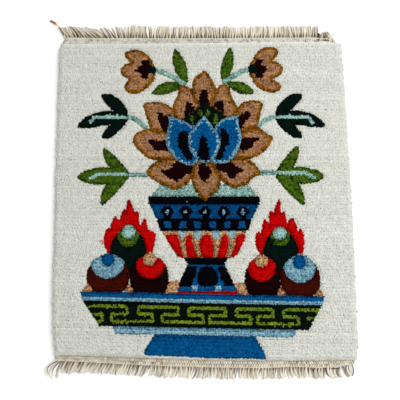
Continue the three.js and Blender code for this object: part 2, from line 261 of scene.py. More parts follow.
def inside(points, outline):
    """Which points lie within a closed outline."""
    x, y = points.T
    hit = np.zeros(len(points), bool)
    for (ax, ay), (bx, by) in zip(outline, np.roll(outline, -1, 0)):
        if ay != by:
            crosses = (ay > y) != (by > y)
            hit ^= crosses & (x < ax + (y - ay) * (bx - ax) / (by - ay))
    return hit


def reach(points, line, closed=True):
    """How far points are from a line, and the way from it to each."""
    nearest = np.full(len(points), far)
    way = np.zeros((len(points), 2))
    following = np.roll(line, -1, 0)
    for a, b in list(zip(line, following))[: None if closed else -1]:
        along = b - a
        share = np.clip((points - a) @ along / max(along @ along, 1e-9), 0, 1)
        offset = points - a - share[:, None] * along
        distance = np.hypot(*offset.T)
        closer_here = distance < nearest
        nearest[closer_here] = distance[closer_here]
        way[closer_here] = offset[closer_here]
    return nearest, way / np.maximum(nearest, 1e-6)[:, None]


def lay(outlines, yarn):
    """Gives the yarn ends inside these outlines, if still free, to one carved motif."""
    margin = 9  # how far round a motif its carving is felt
    everything = np.vstack(outlines)
    low, high = everything.min(0) - margin, everything.max(0) + margin
    near = np.flatnonzero(free & ((place > low) & (place < high)).all(1))
    gap = np.full(len(near), far)
    ways = np.zeros((len(near), 2))
    within = np.zeros(len(near), bool)
    for outline in outlines:
        hit = inside(place[near], outline)
        distance, way = reach(place[near], outline)
        better = np.where(hit, ~within | (distance > gap), ~within & (distance < gap))
        gap[better] = distance[better]
        ways[better] = way[better]
        within |= hit
    depth = np.where(within, gap, 0)
    closer_here = gap < carved[near]
    carved[near[closer_here]] = gap[closer_here]
    away[near[closer_here]] = ways[closer_here]
    mine = near[within]
    if isinstance(yarn, str):
        yarn_of[mine] = yarn
    else:
        yarn_of[mine] = yarn(place[mine], loose_place[mine], depth[within])
    free[mine] = False
    return mine


# How motifs are drawn: petals and leaves on two curves, discs, smooth outlines through
# points, slanted bands and stems, all as closed lines in millimetres.
def unit(ways):
    """These ways, each made one long."""
    return ways / np.maximum(np.linalg.norm(ways, axis=-1, keepdims=True), 1e-6)


def sideways(line):
    """The way to the left of a line at each of its points."""
    way = np.gradient(line, axis=0)
    return unit(np.column_stack([-way[:, 1], way[:, 0]]))


def curve(pulls, steps):
    """Places along a curve from the first point to the last, pulled by those between."""
    t = np.linspace(0, 1, steps)[:, None]
    lines = [np.asarray(pull, float) + 0 * t for pull in pulls]
    while len(lines) > 1:
        lines = [(1 - t) * a + t * b for a, b in zip(lines, lines[1:])]
    return lines[0]


def petal(base, tip, left, right=None, low=0.25, full=0.75, root=0):
    """A leaf from base to tip that swells so far to each side, fullest between the two
    shares of its length, and starts with half this root's width."""
    base, tip = np.array(base, float), np.array(tip, float)
    along = tip - base
    across = unit(np.array([-along[1], along[0]]))

    def side(half, start):
        pull = (half - math.copysign(root, half) / 8) / 0.75
        swell = [base + share * along + pull * across for share in (low, full)]
        return curve([start, *swell, tip], 15)

    right_half = left if right is None else right
    right_line = side(-right_half, base - root * across)
    left_line = side(left, base + root * across)
    return np.vstack([right_line, left_line[-2::-1]])


def disc(x, y, radius, tall=None, above=2, below=2):
    """A round outline, nearer a box above or below the middle as those pass 2."""
    turn = np.linspace(0, 2 * math.pi, 48, endpoint=False)
    tall = radius if tall is None else tall
    power = np.where(turn < math.pi, 2 / above, 2 / below)
    out, up = np.cos(turn), np.sin(turn)
    out, up = (np.sign(part) * np.abs(part) ** power for part in (out, up))
    return np.stack([x + radius * out, y + tall * up], axis=1)


def smooth(points):
    """A closed curve through points; a point that comes twice stays a corner."""
    a = np.array(points, float)
    before, b, after = np.roll(a, 1, 0), np.roll(a, -1, 0), np.roll(a, -2, 0)
    pieces = []
    for t in (0, 0.25, 0.5, 0.75):
        line = a + t * (b - before) / 2 + t**2 * (2 * before - 5 * a + 4 * b - after) / 2
        pieces.append(line + t**3 * (3 * a - before - 3 * b + after) / 2)
    return np.stack(pieces, axis=1).reshape(-1, 2)


def band(x, top, bottom, half_top, half_bottom, tilt=0.0):
    """Four corners round a middle line, sinking or rising with this tilt."""
    left = [(-half_top, top), (-half_bottom, bottom)]
    right = [(half_bottom, bottom), (half_top, top)]
    return np.array([(x + out, y + tilt * (x + out)) for out, y in left + right])


def in_any(points, outlines):
    """Which points lie within one or more of these outlines."""
    return np.any([inside(points, np.array(outline)) for outline in outlines], axis=0)


def stem(line, width):
    """A strip of this width along a curve through three points."""
    start, waypoint, end = np.array(line, float)
    middle = curve([start, 2 * waypoint - (start + end) / 2, end], 9)
    aside = sideways(middle) * width / 2
    return np.vstack([middle + aside, (middle - aside)[::-1]])


# Yarn and tufts: handspun wool, dyed a little unevenly, is cut so that each end opens
# into a small soft brush. A tuft's tone runs from the yarn's shade to its light colour.
yarns = {}
liveliness = {}
fullness = {}


def wool(name, shade, light, lively, curly=0.3, full=1.0):
    """A dyed yarn: its colours in the shade and in the light, how much its ends differ,
    how much the curls within an end do, and how far an end opens."""
    finish = Finish("wool_" + name, Roughness=0.95, Specular_IOR_Level=0.04)
    tone = finish.node("ShaderNodeAttribute", {"attribute_name": "tone"}, {}, "Fac")
    fibres = finish.noise(0.35, 3, (1, 1, 0.35))
    curls = finish.noise(1.3, 2, (0.6, 1, 0.5), 1.8)
    clouds = finish.noise(8, 2)
    mixed = tone + (fibres - 0.5) * (0.1 + curly) + (curls - 0.5) * (curly * 3)
    mixed = mixed + (clouds - 0.5) * 0.5
    finish.set("Base Color", finish.blend(linear(*shade), linear(*light), mixed))
    finish.bump(fibres + curls * (curly * 2), 0.35, 0.5)
    yarns[name] = finish.material
    liveliness[name] = lively
    fullness[name] = full


def joined(name, vertices, faces, materials, face_material=None, **attributes):
    """One mesh from arrays of corners in millimetres and of triangles or quads."""
    mesh = bpy.data.meshes.new(name)
    mesh.vertices.add(len(vertices))
    mesh.vertices.foreach_set("co", (vertices * METRES).astype(np.float32).ravel())
    mesh.loops.add(faces.size)
    mesh.loops.foreach_set("vertex_index", faces.astype(np.int32).ravel())
    mesh.polygons.add(len(faces))
    starts = np.arange(len(faces), dtype=np.int32) * faces.shape[1]
    mesh.polygons.foreach_set("loop_start", starts)
    mesh.update(calc_edges=True)
    mesh.validate()
    for material in materials:
        mesh.materials.append(material)
    if face_material is not None:
        mesh.polygons.foreach_set("material_index", face_material.astype(np.int32))
    mesh.shade_smooth()
    for attribute, values in attributes.items():
        stored = mesh.attributes.new(attribute, "FLOAT", "POINT")
        stored.data.foreach_set("value", values.astype(np.float32).ravel())
    piece = bpy.data.objects.new(name, mesh)
    bpy.context.scene.collection.objects.link(piece)
    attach(piece, "root")
    return piece


def repeated(pattern, corners, number):
    """The faces of one shape again for each of a number of shapes of so many corners."""
    faces = pattern[None] + corners * np.arange(number)[:, None, None]
    return faces.reshape(-1, pattern.shape[1])


tuft_sides = 5
tuft_half_long, tuft_half_wide = 2.05, 1.7
root_narrowing, shoulder_drop, apex_aside, root_shade = 0.85, 0.45, 0.35, 0.3
lowest = 0.1  # no wool goes below this height


def brush(name, roots, tips, yarn, tone, turn):
    """Tufts of cut yarn from their roots to their tips, as one piece."""
    number = len(roots)
    axis = unit(tips - roots)
    aside = np.column_stack([np.cos(turn), np.sin(turn), np.zeros(number)])
    aside = unit(aside - axis * (aside * axis).sum(1, keepdims=True))
    across = np.cross(axis, aside)
    angle = np.arange(tuft_sides) * 2 * math.pi / tuft_sides
    long_way = (tuft_half_long * np.cos(angle))[None, :, None] * aside[:, None, :]
    wide_way = (tuft_half_wide * np.sin(angle))[None, :, None] * across[:, None, :]
    size = np.array([fullness[n] for n in yarn]) * chance.uniform(0.9, 1.1, number)
    ring = (long_way + wide_way) * size[:, None, None]
    root_ring = roots[:, None, :] + ring * root_narrowing
    shoulder = tips - axis * shoulder_drop
    shoulder_ring = shoulder[:, None, :] + ring
    apex = (tips + aside * apex_aside)[:, None, :]
    vertices = np.concatenate([root_ring, shoulder_ring, apex], axis=1)
    vertices[..., 2] = np.maximum(vertices[..., 2], lowest)
    each = vertices.shape[1]
    here = np.arange(tuft_sides)
    after = (here + 1) % tuft_sides
    lower = np.stack([here, after, after + tuft_sides], axis=1)
    upper = np.stack([here, after + tuft_sides, here + tuft_sides], axis=1)
    tip = np.full(tuft_sides, 2 * tuft_sides)
    top = np.stack([here + tuft_sides, after + tuft_sides, tip], axis=1)
    pattern = np.concatenate([lower, upper, top])
    names = sorted(set(yarn))
    index = np.searchsorted(names, yarn)
    shade = np.repeat(tone[:, None], each, axis=1)
    shade[:, :tuft_sides] -= root_shade
    piece = joined(
        name,
        vertices.reshape(-1, 3),
        repeated(pattern, each, number),
        [yarns[n] for n in names],
        np.repeat(index, len(pattern)),
        tone=shade,
    )
    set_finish(piece, "wool_pile")


rim, rim_way = reach(place, pile_outline)
strayed = ~inside(place, pile_outline)
rim[strayed] = 0
rim_way[strayed] *= -1
motif_rise, tuft_depth = 1.4, 5.2
line_half, groove_reach = 1.1, 4.4  # a carved line's half width, and how far it is felt
motif_groove, ground_groove = (1.9, 0.35), (1.1, 0.05)  # a groove's depth and its shade
rim_reach, rim_drop, rim_lean, far_end_painted_light = 6, 2.2, 0.75, 0.7
wave = 0.35 * np.sin(place[:, 0] / 61 + 1) * np.sin(place[:, 1] / 47)
row_tone = chance.normal(0, 0.05, rows)[np.floor(row_of).astype(int)]


def tufts(name, chosen, rise):
    """The piece of pile that these yarn ends make, clipped and carved."""
    gap, way = carved[chosen], away[chosen]
    at = place[chosen] + np.maximum(line_half - gap, 0)[:, None] * way
    cut = np.clip(1 - gap / groove_reach, 0, 1) ** 1.5
    depth, dim = motif_groove if rise else ground_groove
    height = pile_height + rise * (1 - 0.4 * cut) + wave[chosen] - depth * cut
    height += chance.normal(0, 0.13, len(chosen))
    edge = np.clip(1 - (rim[chosen] - 1) / rim_reach, 0, 1)
    lean = chance.normal(0, 0.12, (len(chosen), 2)) + way * (0.5 * cut)[:, None]
    lean -= rim_way[chosen] * (rim_lean * edge**1.5)[:, None]
    height -= rim_drop * edge**2
    tips = np.column_stack([at, height])
    roots = np.column_stack([at - lean * tuft_depth, height - tuft_depth])
    yarn = yarn_of[chosen]
    lively = np.array([liveliness[n] for n in yarn])
    tone = 0.5 + chance.normal(0, 1, len(chosen)) * lively + row_tone[chosen] - dim * cut
    # Painted light: tufts along the rug's top end, where the pile rounds over, are made lighter.
    tone += far_end_painted_light * edge * (rim_way[chosen, 1] < -0.5)
    turn = chance.uniform(0, math.pi, len(chosen))
    brush(name, roots, tips, yarn, tone, turn)


# Altar: the table that the offerings stand on, in blue, black-green and light blue
# wool, with a running key fret along its panel. It lies in front of all the rest.
wool("blue", (0, 32, 68), (10, 96, 152), 0.1)
wool("light_blue", (28, 70, 92), (145, 188, 202), 0.12, 0.7)
wool("black_green", (2, 9, 6), (12, 26, 18), 0.1)
wool("fret_green", (40, 58, 4), (124, 146, 42), 0.14, 0.5, 0.85)
altar_tilt = -0.02
panel_top, fret_pitch, fret_half = -149.1, 4.73, 2.2
fret_starts = np.array([-222.6, -154.5, -86.4, -18.2, 45.6, 109.5, 177.6])
hook, rest_gap, corner_cut = 21.3, 12.8, 2.4
edge_line = 144.5  # how far down the table's edge its light-blue line starts


def meander():
    """The fret's line in millimetres across and rows down, its corners rounded."""
    line = []
    for start, following in zip(fret_starts, fret_starts[1:]):
        top_end = following - rest_gap
        line += [(start + hook, 5), (start + hook, 3), (start + 2, 3), (start + 2, 1)]
        line += [(top_end, 1), (top_end, 3), (top_end - hook, 3), (top_end - hook, 5)]
    line = np.array(line) * (1, -fret_pitch)
    rounded = []
    for before, corner, after in zip(line, line[1:], line[2:]):
        ways = [(end - corner) / np.hypot(*(end - corner)) for end in (before, after)]
        first, last = (corner + corner_cut * way for way in ways)
        rounded += [first, (first + last) / 4 + corner / 2, last]
    return np.array(rounded)


def fret(at, loose, depth):
    """The panel's yarns. Each motif's function takes the places of its yarn ends, the looser
    places where ragged lines are cut, and how deep each lies within the outline."""
    level = at[:, 1] - altar_tilt * at[:, 0] - panel_top + 0.5 * fret_pitch
    gap = reach(np.column_stack([at[:, 0], level]), meander(), False)[0]
    return np.where(gap < fret_half, "fret_green", "black_green")


def table_edge(at, loose, depth):
    below = altar_tilt * at[:, 0] - at[:, 1]
    return np.where(below > edge_line, "light_blue", "blue")


altar_base = [
    (-62, -190.4), (-70, -202), (-75.5, -211.5), (-77, -216.7), (5, -221), (88, -222.3),
    (82.3, -210), (72, -193.2),
]
altar_panel = [(-160.5, -145.9), (-136.7, -179.4), (144, -185), (163, -152.4)]
altar = [
    (np.array(altar_base), "blue"),
    (band(4.3, -181.9, -191.8, 123.2, 119.3, altar_tilt), "light_blue"),
    (np.array(altar_panel), fret),
    (band(1.5, -136.9, -149.1, 165.4, 162.4, altar_tilt), table_edge),
]
altar_ends = [lay([outline], yarn) for outline, yarn in altar]
tufts("altar_pile", np.concatenate(altar_ends), motif_rise)

# Flaming jewels: three balls under each flame, each with a lighter cap and a bead, and
# small tan gems between them on the altar.
wool("red", (96, 0, 4), (212, 6, 8), 0.09)
wool("rust", (28, 7, 3), (69, 21, 10), 0.1)
wool("maroon", (10, 2, 3), (34, 6, 8), 0.1)
wool("tan", (50, 28, 13), (183, 134, 96), 0.13, 0.9)
wool("pale_tan", (62, 36, 16), (216, 170, 126), 0.13, 0.9)
wool("deep_blue", (0, 25, 56), (8, 84, 136), 0.1)
wool("teal", (38, 78, 72), (170, 208, 198), 0.13, 0.8)
wool("dark_green", (1, 9, 7), (10, 30, 26), 0.1)
wool("mid_green", (9, 24, 2), (80, 110, 29), 0.18, 0.5)
# A ball's middle, its half width, half height and how square it is above and below, then
# its cap and its bead by middle and radius.
jewels = [
    ((-126.8, -109.5), (29.2, 27, 1.75, 3.4), (-128, -93.5, 23), (-127.5, -90.8, 8.6)),
    ((-70.6, -112), (25.9, 27, 2, 5), (-69.5, -97.3, 19.6), (-70.6, -90.2, 9.1)),
    ((-100.3, -79), (25.2, 35.5, 1.6, 2), (-100.5, -58.5, 15.2), (-100.2, -52.8, 9.6)),
    ((135, -112), (27, 29, 1.6, 3.4), (134.5, -99.8, 22.2), (134.2, -94.2, 8.9)),
    ((83.6, -113.5), (24.2, 27.5, 1.85, 5), (82.6, -101, 19.3), (82.4, -92.2, 9.1)),
    ((109.3, -81), (24.4, 35.8, 1.6, 2), (109, -60, 13), (108.2, -54.8, 9.2)),
]
jewel_dyes = [
    ("rust", "light_blue", "blue"),
    ("maroon", "red", "pale_tan"),
    ("dark_green", "mid_green", "teal"),
]
flames = [
    [
        (-73, -84), (-127.5, -84), (-131, -78), (-134.2, -64), (-132, -52), (-129, -46),
        (-126.8, -47.5), (-126.2, -51.8), (-124.8, -43), (-122.2, -35), (-118.5, -30),
        (-116, -34), (-113.4, -38.2), (-111.2, -30), (-108.6, -22.5), (-105.5, -20.8),
        (-103.9, -24), (-103.4, -15), (-102.9, -9.8), (-100.4, -8.8), (-98.4, -11), (-95.3, -18),
        (-91.3, -26.4), (-88.7, -22.6), (-86.8, -25), (-86.4, -36), (-83.5, -44.6), (-80.4, -37),
        (-78, -32.6), (-76, -37), (-73.8, -48.5), (-69, -52), (-64.2, -53.2), (-62.6, -58.5),
        (-64, -68), (-66.5, -78), (-68.5, -84),
    ],
    [
        (132, -86), (83, -86), (77.5, -78), (74.2, -65.5), (75.2, -57), (78.8, -51.2), (81, -53),
        (82.5, -56), (84.5, -43.5), (87, -36.6), (89.8, -35.4), (91.8, -38.6), (94.8, -44),
        (93.2, -32.2), (94, -25.3), (96.7, -22), (98.6, -24.6), (100.8, -27), (103, -19.3),
        (105.5, -11.4), (108, -6), (109.9, -11.4), (110.2, -19), (111.2, -27.4), (113.9, -22.6),
        (115.8, -27.2), (119.4, -41.4), (122.4, -36), (125.4, -31.6), (129.8, -38), (132.4, -45),
        (134.1, -53.4), (137.2, -47.6), (139.8, -51), (141.8, -57), (142, -64), (141, -77),
        (138.5, -86),
    ],
]
gems = [
    [(-154.4, -121.5), (-160.8, -132), (-160.4, -137), (-147.4, -137), (-147.9, -130)],
    [(-97.9, -123), (-104.4, -132), (-104, -137), (-91.5, -137), (-92.8, -130)],
    [(-43.1, -119.4), (-28.5, -119.4), (-33, -140), (-50.5, -140)],
    [(45.5, -122.3), (59, -122.3), (65.5, -142), (52, -142)],
    [(108.5, -127.5), (103.6, -134), (103, -143), (114.6, -143), (113.6, -135)],
    [(160.6, -128.4), (154.2, -139.4), (154, -143), (166, -143), (165, -135)],
]


def cap_on_ball(middle, ball, cap):
    """A cap's outline, brought in to the ball's where it would pass it."""
    half, tall, above, below = ball
    outline = disc(*cap)
    out, up = ((outline - middle) / (half, tall)).T
    power = np.where(up > 0, above, below)
    size = (np.abs(out) ** power + np.abs(up) ** power) ** (1 / power)
    return middle + (outline - middle) / np.maximum(size, 1)[:, None]


jewel_ends = [lay([np.array(gem)], "pale_tan") for gem in gems]
for (middle, ball, cap, bead), dyes in zip(jewels, 2 * jewel_dyes):
    ball_dye, cap_dye, bead_dye = dyes
    jewel_ends.append(lay([disc(*bead)], bead_dye))
    jewel_ends.append(lay([cap_on_ball(middle, ball, cap)], cap_dye))
    jewel_ends.append(lay([disc(*middle, *ball)], ball_dye))
jewel_ends += [lay([np.array(flame)], "red") for flame in flames]
tufts("flaming_jewels_pile", np.concatenate(jewel_ends), motif_rise)

# Lotus: three blue petals in front of a green seed head and ten tan petals, each tan
# one edged with a knot of ochre and marked with a maroon heart.
wool("ochre", (36, 18, 0), (164, 106, 28), 0.16, 0.8)
wool("black", (2, 2, 5), (11, 11, 18), 0.1)
# Each petal's outline, then its heart's.
blue_petals = [
    (
        [
            (4, 113), (4, 113), (10, 106), (17, 95), (23, 88), (26, 79), (27, 72), (24, 61),
            (19, 52), (12, 45.5), (4, 44.5), (-5, 47.5), (-13, 57.5), (-17, 67), (-18, 79),
            (-16, 87), (-10, 96), (-2, 106),
        ],
        [(4, 83), (8, 74), (12, 64), (12, 55), (10, 48), (-2, 50), (-5, 62), (-3, 74), (0, 80)],
    ),
    (
        [
            (-47, 112), (-47, 112), (-39, 110), (-30, 107), (-21, 103), (-14, 99), (-5, 93),
            (0, 60), (-7, 44), (-16, 40.5), (-24, 42), (-31, 46), (-38, 52), (-44, 60), (-49, 70),
            (-50, 80), (-48, 90), (-46, 101),
        ],
        [
            (-26, 91), (-21, 91), (-18, 84), (-19, 71), (-17, 61), (-12, 51), (-17, 47),
            (-23, 50), (-27, 58), (-33, 67), (-33, 80), (-30, 87),
        ],
    ),
    (
        [
            (53.5, 113), (53.5, 113), (53, 103), (55, 94), (57, 82), (55, 68), (50, 58), (44, 50),
            (36, 44), (26, 43.5), (15, 46), (13, 71), (17, 88), (20, 96), (26, 104), (34, 109),
            (44, 111),
        ],
        [
            (29, 92), (34, 93), (37, 86), (40, 77), (38, 68), (34, 65), (32, 56), (28, 50),
            (21, 49), (24, 58), (27, 66), (29, 75), (28, 83),
        ],
    ),
]
seed_outline = [
    (5, 132), (15, 126), (27, 118), (37, 109), (27, 88), (-2, 88), (-24, 107), (-12, 118),
    (-2, 126),
]
seed_edge = [(11, 129.5), (22, 123), (35, 112)]
seed_marks = [(-12.5, 107, 6), (-1.6, 117, 6), (9.4, 116.5, 7), (20.7, 107, 8)]
tan_petals = [
    (
        [
            (6, -10), (12, -4), (19, 1), (24, 8), (27, 16), (27, 24), (22, 34), (15, 42), (5, 47),
            (-5, 47), (-10, 42), (-12, 34), (-13, 25), (-13, 18), (-10, 8), (-5, 0), (0, -6),
        ],
        [
            (-2, 41), (4, 43), (10, 38), (14, 31), (12, 26), (8, 21), (5, 14), (1, 20), (-3, 26),
            (-5, 32), (-3, 38),
        ],
    ),
    (
        [
            (5, 179.5), (12, 172), (17, 162), (21, 153), (20, 144), (15, 130), (4, 122),
            (-5, 129), (-12, 141), (-13, 153), (-12, 161), (-9, 169), (-2, 175),
        ],
        [(5.5, 155), (7, 151), (9, 146), (10, 128), (-2, 128), (-2, 143), (2, 149)],
    ),
    (
        [
            (-33, 153), (-29, 157), (-22, 157), (-15, 153), (-9, 144), (-2, 134), (-3, 123),
            (-10, 110), (-21, 104), (-32, 106), (-37, 111), (-40, 118), (-40, 128), (-37, 136),
            (-33, 146),
        ],
        [
            (-19, 133), (-15, 130), (-10, 125), (-12, 120), (-17, 117), (-20, 111), (-24, 110),
            (-23, 119), (-23, 128),
        ],
    ),
    (
        [
            (21, 150), (24, 155), (30, 159), (36, 158), (41, 152), (43, 143), (47, 133),
            (52, 124), (50, 116), (45, 109), (32, 107), (20, 113), (12, 129), (11, 138),
            (15, 146),
        ],
        [(21, 132), (26, 134), (31, 133), (32, 125), (34, 116), (29, 115), (24, 119), (19, 125)],
    ),
    (
        [
            (-83, 127), (-82, 130), (-77, 132), (-67, 132.5), (-56, 132), (-46, 127), (-39, 120),
            (-34, 109), (-37, 88), (-50, 86), (-58, 88), (-70, 90), (-74, 97), (-78, 113),
            (-81, 121),
        ],
        [
            (-61, 116), (-56, 117), (-52, 113), (-45, 112), (-45, 91), (-52, 89), (-57, 95),
            (-61, 106),
        ],
    ),
    (
        [
            (88, 132), (87, 123), (84, 113), (82, 103), (78, 95), (69, 92), (55, 88), (45, 100),
            (46, 114), (50, 120), (53, 126), (60, 132), (70, 134.5), (80, 134.5),
        ],
        [
            (53, 111), (58, 115), (65, 119), (69, 118), (68, 109), (62, 103), (59, 94), (55, 92),
            (50, 95),
        ],
    ),
    (
        [
            (-97, 76), (-94, 84), (-88, 89), (-79, 92.5), (-70, 93), (-60, 90), (-44, 87),
            (-35, 71), (-36, 50), (-46, 49), (-58, 48), (-71, 49), (-79, 54), (-88, 62),
            (-94, 69),
        ],
        [
            (-76, 76), (-67, 77), (-58, 76), (-47, 75), (-46, 60), (-54, 61), (-62, 61),
            (-67, 65), (-71, 70),
        ],
    ),
    (
        [
            (101, 81), (99, 73), (93, 65), (86, 58), (78, 53), (69, 50), (59, 50), (46, 51),
            (45, 68), (49, 86), (57, 87), (66, 91), (75, 95), (80, 96), (85, 93), (93, 87),
        ],
        [(57, 78), (66, 79), (80, 80), (78, 74), (74, 71), (72, 66), (65, 62), (54, 63)],
    ),
    (
        [
            (-77, 31), (-72, 39), (-63, 46), (-56, 49), (-44, 50), (-30, 52), (-8, 47), (-10, 32),
            (-13, 23), (-19, 14.5), (-28, 8.5), (-38, 6), (-45, 8), (-53, 12), (-63, 17),
            (-72, 24),
        ],
        [
            (-59, 33), (-48, 34), (-42, 37), (-41, 42), (-34, 46), (-15, 42), (-12, 37),
            (-16, 29), (-21, 28), (-25, 24), (-29, 21), (-34, 18), (-41, 20), (-48, 23),
            (-52, 27),
        ],
    ),
    (
        [
            (84, 30), (77, 25), (68, 19), (64, 13), (54, 10), (46, 8), (37, 12), (29, 19),
            (23, 29), (18, 38), (11, 46), (32, 52), (45, 51), (55, 51), (65, 50), (72, 46),
            (78, 39),
        ],
        [
            (22, 43), (43, 45), (49, 38), (55, 36), (59, 31), (50, 28), (46, 22), (39, 21),
            (36, 28), (28, 32), (23, 36),
        ],
    ),
]
ochre_width, blue_rim, heart_depth = 5.0, 4.2, 2.5
tooth_size, tooth_rate, mark_half, seed_edge_width = 0.9, 1.4, 2.8, 2.2


def tan_yarns(heart):
    def yarn(at, loose, depth):
        field = np.where(depth < ochre_width, "ochre", "tan")
        return np.where(inside(loose, heart) & (depth > heart_depth), "maroon", field)

    return yarn


def blue_yarns(heart):
    def yarn(at, loose, depth):
        tooth = tooth_size * np.sin(loose[:, 1] * tooth_rate)
        field = np.where(depth + tooth < blue_rim, "light_blue", "blue")
        return np.where(inside(loose, heart), "black", field)

    return yarn


def seed_head(at, loose, depth):
    marks = [petal((x, y - half), (x, y + half), mark_half) for x, y, half in seed_marks]
    return np.where(in_any(loose, marks), "mid_green", "dark_green")


lotus_ends = []
for line, heart in blue_petals:
    lotus_ends.append(lay([smooth(line)], blue_yarns(smooth(heart))))
lotus_ends.append(lay([stem(seed_edge, seed_edge_width)], "ochre"))
lotus_ends.append(lay([smooth(seed_outline)], seed_head))
for line, heart in tan_petals:
    lotus_ends.append(lay([smooth(line)], tan_yarns(smooth(heart))))
tufts("lotus_pile", np.concatenate(lotus_ends), motif_rise)

# Vase: a teal rim, a row of diamonds and a row of squares, a bowl with red petals
# between tan ribs, a neck, and an arched foot on a red strip.
vase_middle, foot_shift = 4.3, 2.5
diamonds = [(-47.3, -25.3), (-21.7, -25.3), (5.3, -25.3), (31.1, -25.3), (58, -25.3)]
squares = [
    (-46.2, -43.4), (-25.1, -43.4), (-5.1, -43.4), (15.9, -43.4), (36.1, -43.4), (56.4, -43.4),
]
blue_points = [
    [(-32.4, -50), (-20.8, -50), (-24.8, -61.5), (-27.4, -61.5)],
    [(-12.5, -50), (2.5, -50), (-3.8, -63), (-7, -63)],
    [(12, -50), (27, -50), (23.4, -63.5), (20.6, -63.5)],
    [(35.6, -50), (48.3, -50), (43.8, -62.2), (41.4, -62.2)],
]
bowl_petals = [
    [
        (-49, -57), (-43, -56.2), (-36, -55.6), (-32.6, -58), (-30.6, -64), (-29.2, -73),
        (-23.4, -88), (-29, -88), (-40.5, -74.6), (-47, -64),
    ],
    [
        (-17, -56.5), (-20.9, -61), (-22.2, -68.9), (-20.6, -77.7), (-18.3, -88), (-5, -88),
        (-7.8, -80), (-11, -69), (-13, -60.5),
    ],
    [
        (6.8, -55.6), (1, -59.8), (-2.3, -66), (-2.8, -71.9), (0, -81), (2.2, -88), (16.5, -88),
        (17.3, -79), (17, -69), (12.9, -59),
    ],
    [
        (32.8, -55.6), (28, -61), (25.9, -69), (23.5, -79), (21.7, -88), (33.5, -88), (35.8, -80),
        (37.9, -69), (36.5, -61),
    ],
    [
        (50, -57.2), (56.5, -55.8), (62, -57.2), (60.4, -64), (55.5, -73), (49.8, -82.2),
        (44.7, -88), (39.8, -88), (43, -80), (46.4, -71), (47.6, -62),
    ],
]
arch = [
    (4.5, -100.3), (-1, -103), (-4.3, -109), (-5.5, -116.6), (-4, -124), (0, -127), (18, -127),
    (21.8, -121.8), (23.4, -118), (21.8, -111), (19.6, -106.5), (15, -102), (9, -100.3),
]
foot_panels = [
    [
        (-19.5, -100.8), (-6.9, -100.8), (-8, -109.2), (-10.6, -119.6), (-12.4, -127),
        (-33, -127), (-25, -113.7),
    ],
    [
        (21.5, -100.8), (32.6, -100.8), (40, -112.2), (48.5, -127), (32.3, -127), (28.8, -119.6),
        (24.6, -109.2),
    ],
]
pale_spots = [(-8.8, -129.2), (23.2, -129.8)]


def diamond_row(at, loose, depth):
    yarn = np.full(len(at), "deep_blue", dtype="<U16")
    for x, y in diamonds:
        out, up = np.abs(at - (x, y)).T
        yarn[(out / 10.2 + up / 11.5 < 1) & (up < 8)] = "black"
        yarn[out / 2.7 + up / 3.8 < 1] = "light_blue"
    return yarn


def square_row(at, loose, depth):
    yarn = np.full(len(at), "black", dtype="<U16")
    for x, y in squares:
        out, up = np.abs(at - (x, y)).T
        yarn[(out < 4.5) & (up < 4.1)] = "deep_blue"
    return yarn


def bowl(at, loose, depth):
    return np.where(in_any(at, blue_points), "light_blue", "pale_tan")


def foot(at, loose, depth):
    yarn = np.where(in_any(at, foot_panels), "black", "blue").astype("<U16")
    for x, y in pale_spots:
        out, up = np.abs(at - (x, y)).T
        yarn[(out < 4) & (up < 2.8)] = "light_blue"
    return yarn


# Each part's top, bottom, half widths there, and yarn.
vase = [
    (13, -3.8, 60, 75.5, "teal"),
    (-3.8, -14.2, 77.5, 77.5, "black"),
    (-14.2, -34.8, 76, 66.5, diamond_row),
    (-34.8, -51, 66, 60.5, square_row),
    (-51, -88, 59, 37, bowl),
    (-88, -97.5, 30.5, 25, "black"),
    (-97.5, -133.2, 25, 42.6, foot),
    (-133.2, -140, 44.6, 46.5, "red"),
]
vase_ends = [lay([np.array(arch)], "black")]
vase_ends += [lay([np.array(outline)], "red") for outline in bowl_petals]
for number, (top, bottom, half_top, half_bottom, yarn) in enumerate(vase):
    middle = vase_middle + (foot_shift if number > 4 else 0)
    vase_ends.append(lay([band(middle, top, bottom, half_top, half_bottom)], yarn))
tufts("vase_pile", np.concatenate(vase_ends), motif_rise)

# Small flowers: three joined tan petals with an ochre edge, a maroon star and a green
# calyx, on a teal stem with two leaves.
flowers = [
    {
        "outline": [
            (-111, 206), (-105, 210), (-95, 211), (-88, 210), (-79, 204), (-72, 196), (-68, 187),
            (-65, 179), (-68, 166), (-73, 158), (-80, 152), (-87, 147), (-97, 145), (-104, 146.5),
            (-110, 152), (-109, 159), (-105, 166.5), (-113, 172), (-117, 178), (-114, 185),
            (-109, 189.5), (-102, 190.5), (-107, 196),
        ],
        "star": [
            (-96, 180), (-85, 186.5), (-86, 194), (-75, 195), (-75, 166), (-84.5, 166),
            (-88, 169), (-86, 173.5),
        ],
        "calyx": [(-76, 188), (-66, 186), (-63, 180), (-65, 175), (-76, 173)],
        "stem": [(-67, 179.7), (-48, 174), (-22, 158)],
        "leaves": [((-20.5, 160), (-37.5, 213.6), 10.5, 7), ((-26, 157.5), (-71.3, 144), 5.5, 12)],
    },
    {
        "outline": [
            (112, 210), (108, 214), (100, 215.5), (93, 215), (84, 210), (78, 203), (74, 195),
            (69, 188), (69, 175), (73, 168), (77, 160), (84, 153), (94, 148), (104, 147),
            (112, 150), (115, 156), (111, 162), (103, 167), (111, 171), (117, 177), (118.5, 183),
            (115, 189), (109, 194), (103, 194.5), (107, 199), (110.5, 204),
        ],
        "star": [
            (98, 181.5), (88.5, 187), (89, 195), (84, 197), (78.5, 196.5), (78, 167.5),
            (88, 166.5), (89.5, 170), (88, 174),
        ],
        "calyx": [(69, 189), (79.5, 189), (80, 174), (69, 174)],
        "stem": [(70, 182), (52, 175), (31, 161)],
        "leaves": [((30.6, 160), (42.4, 215.9), 7, 9.5), ((37, 162), (76.6, 146.4), 8, 8.5)],
    },
]
flower_stem_width = 7


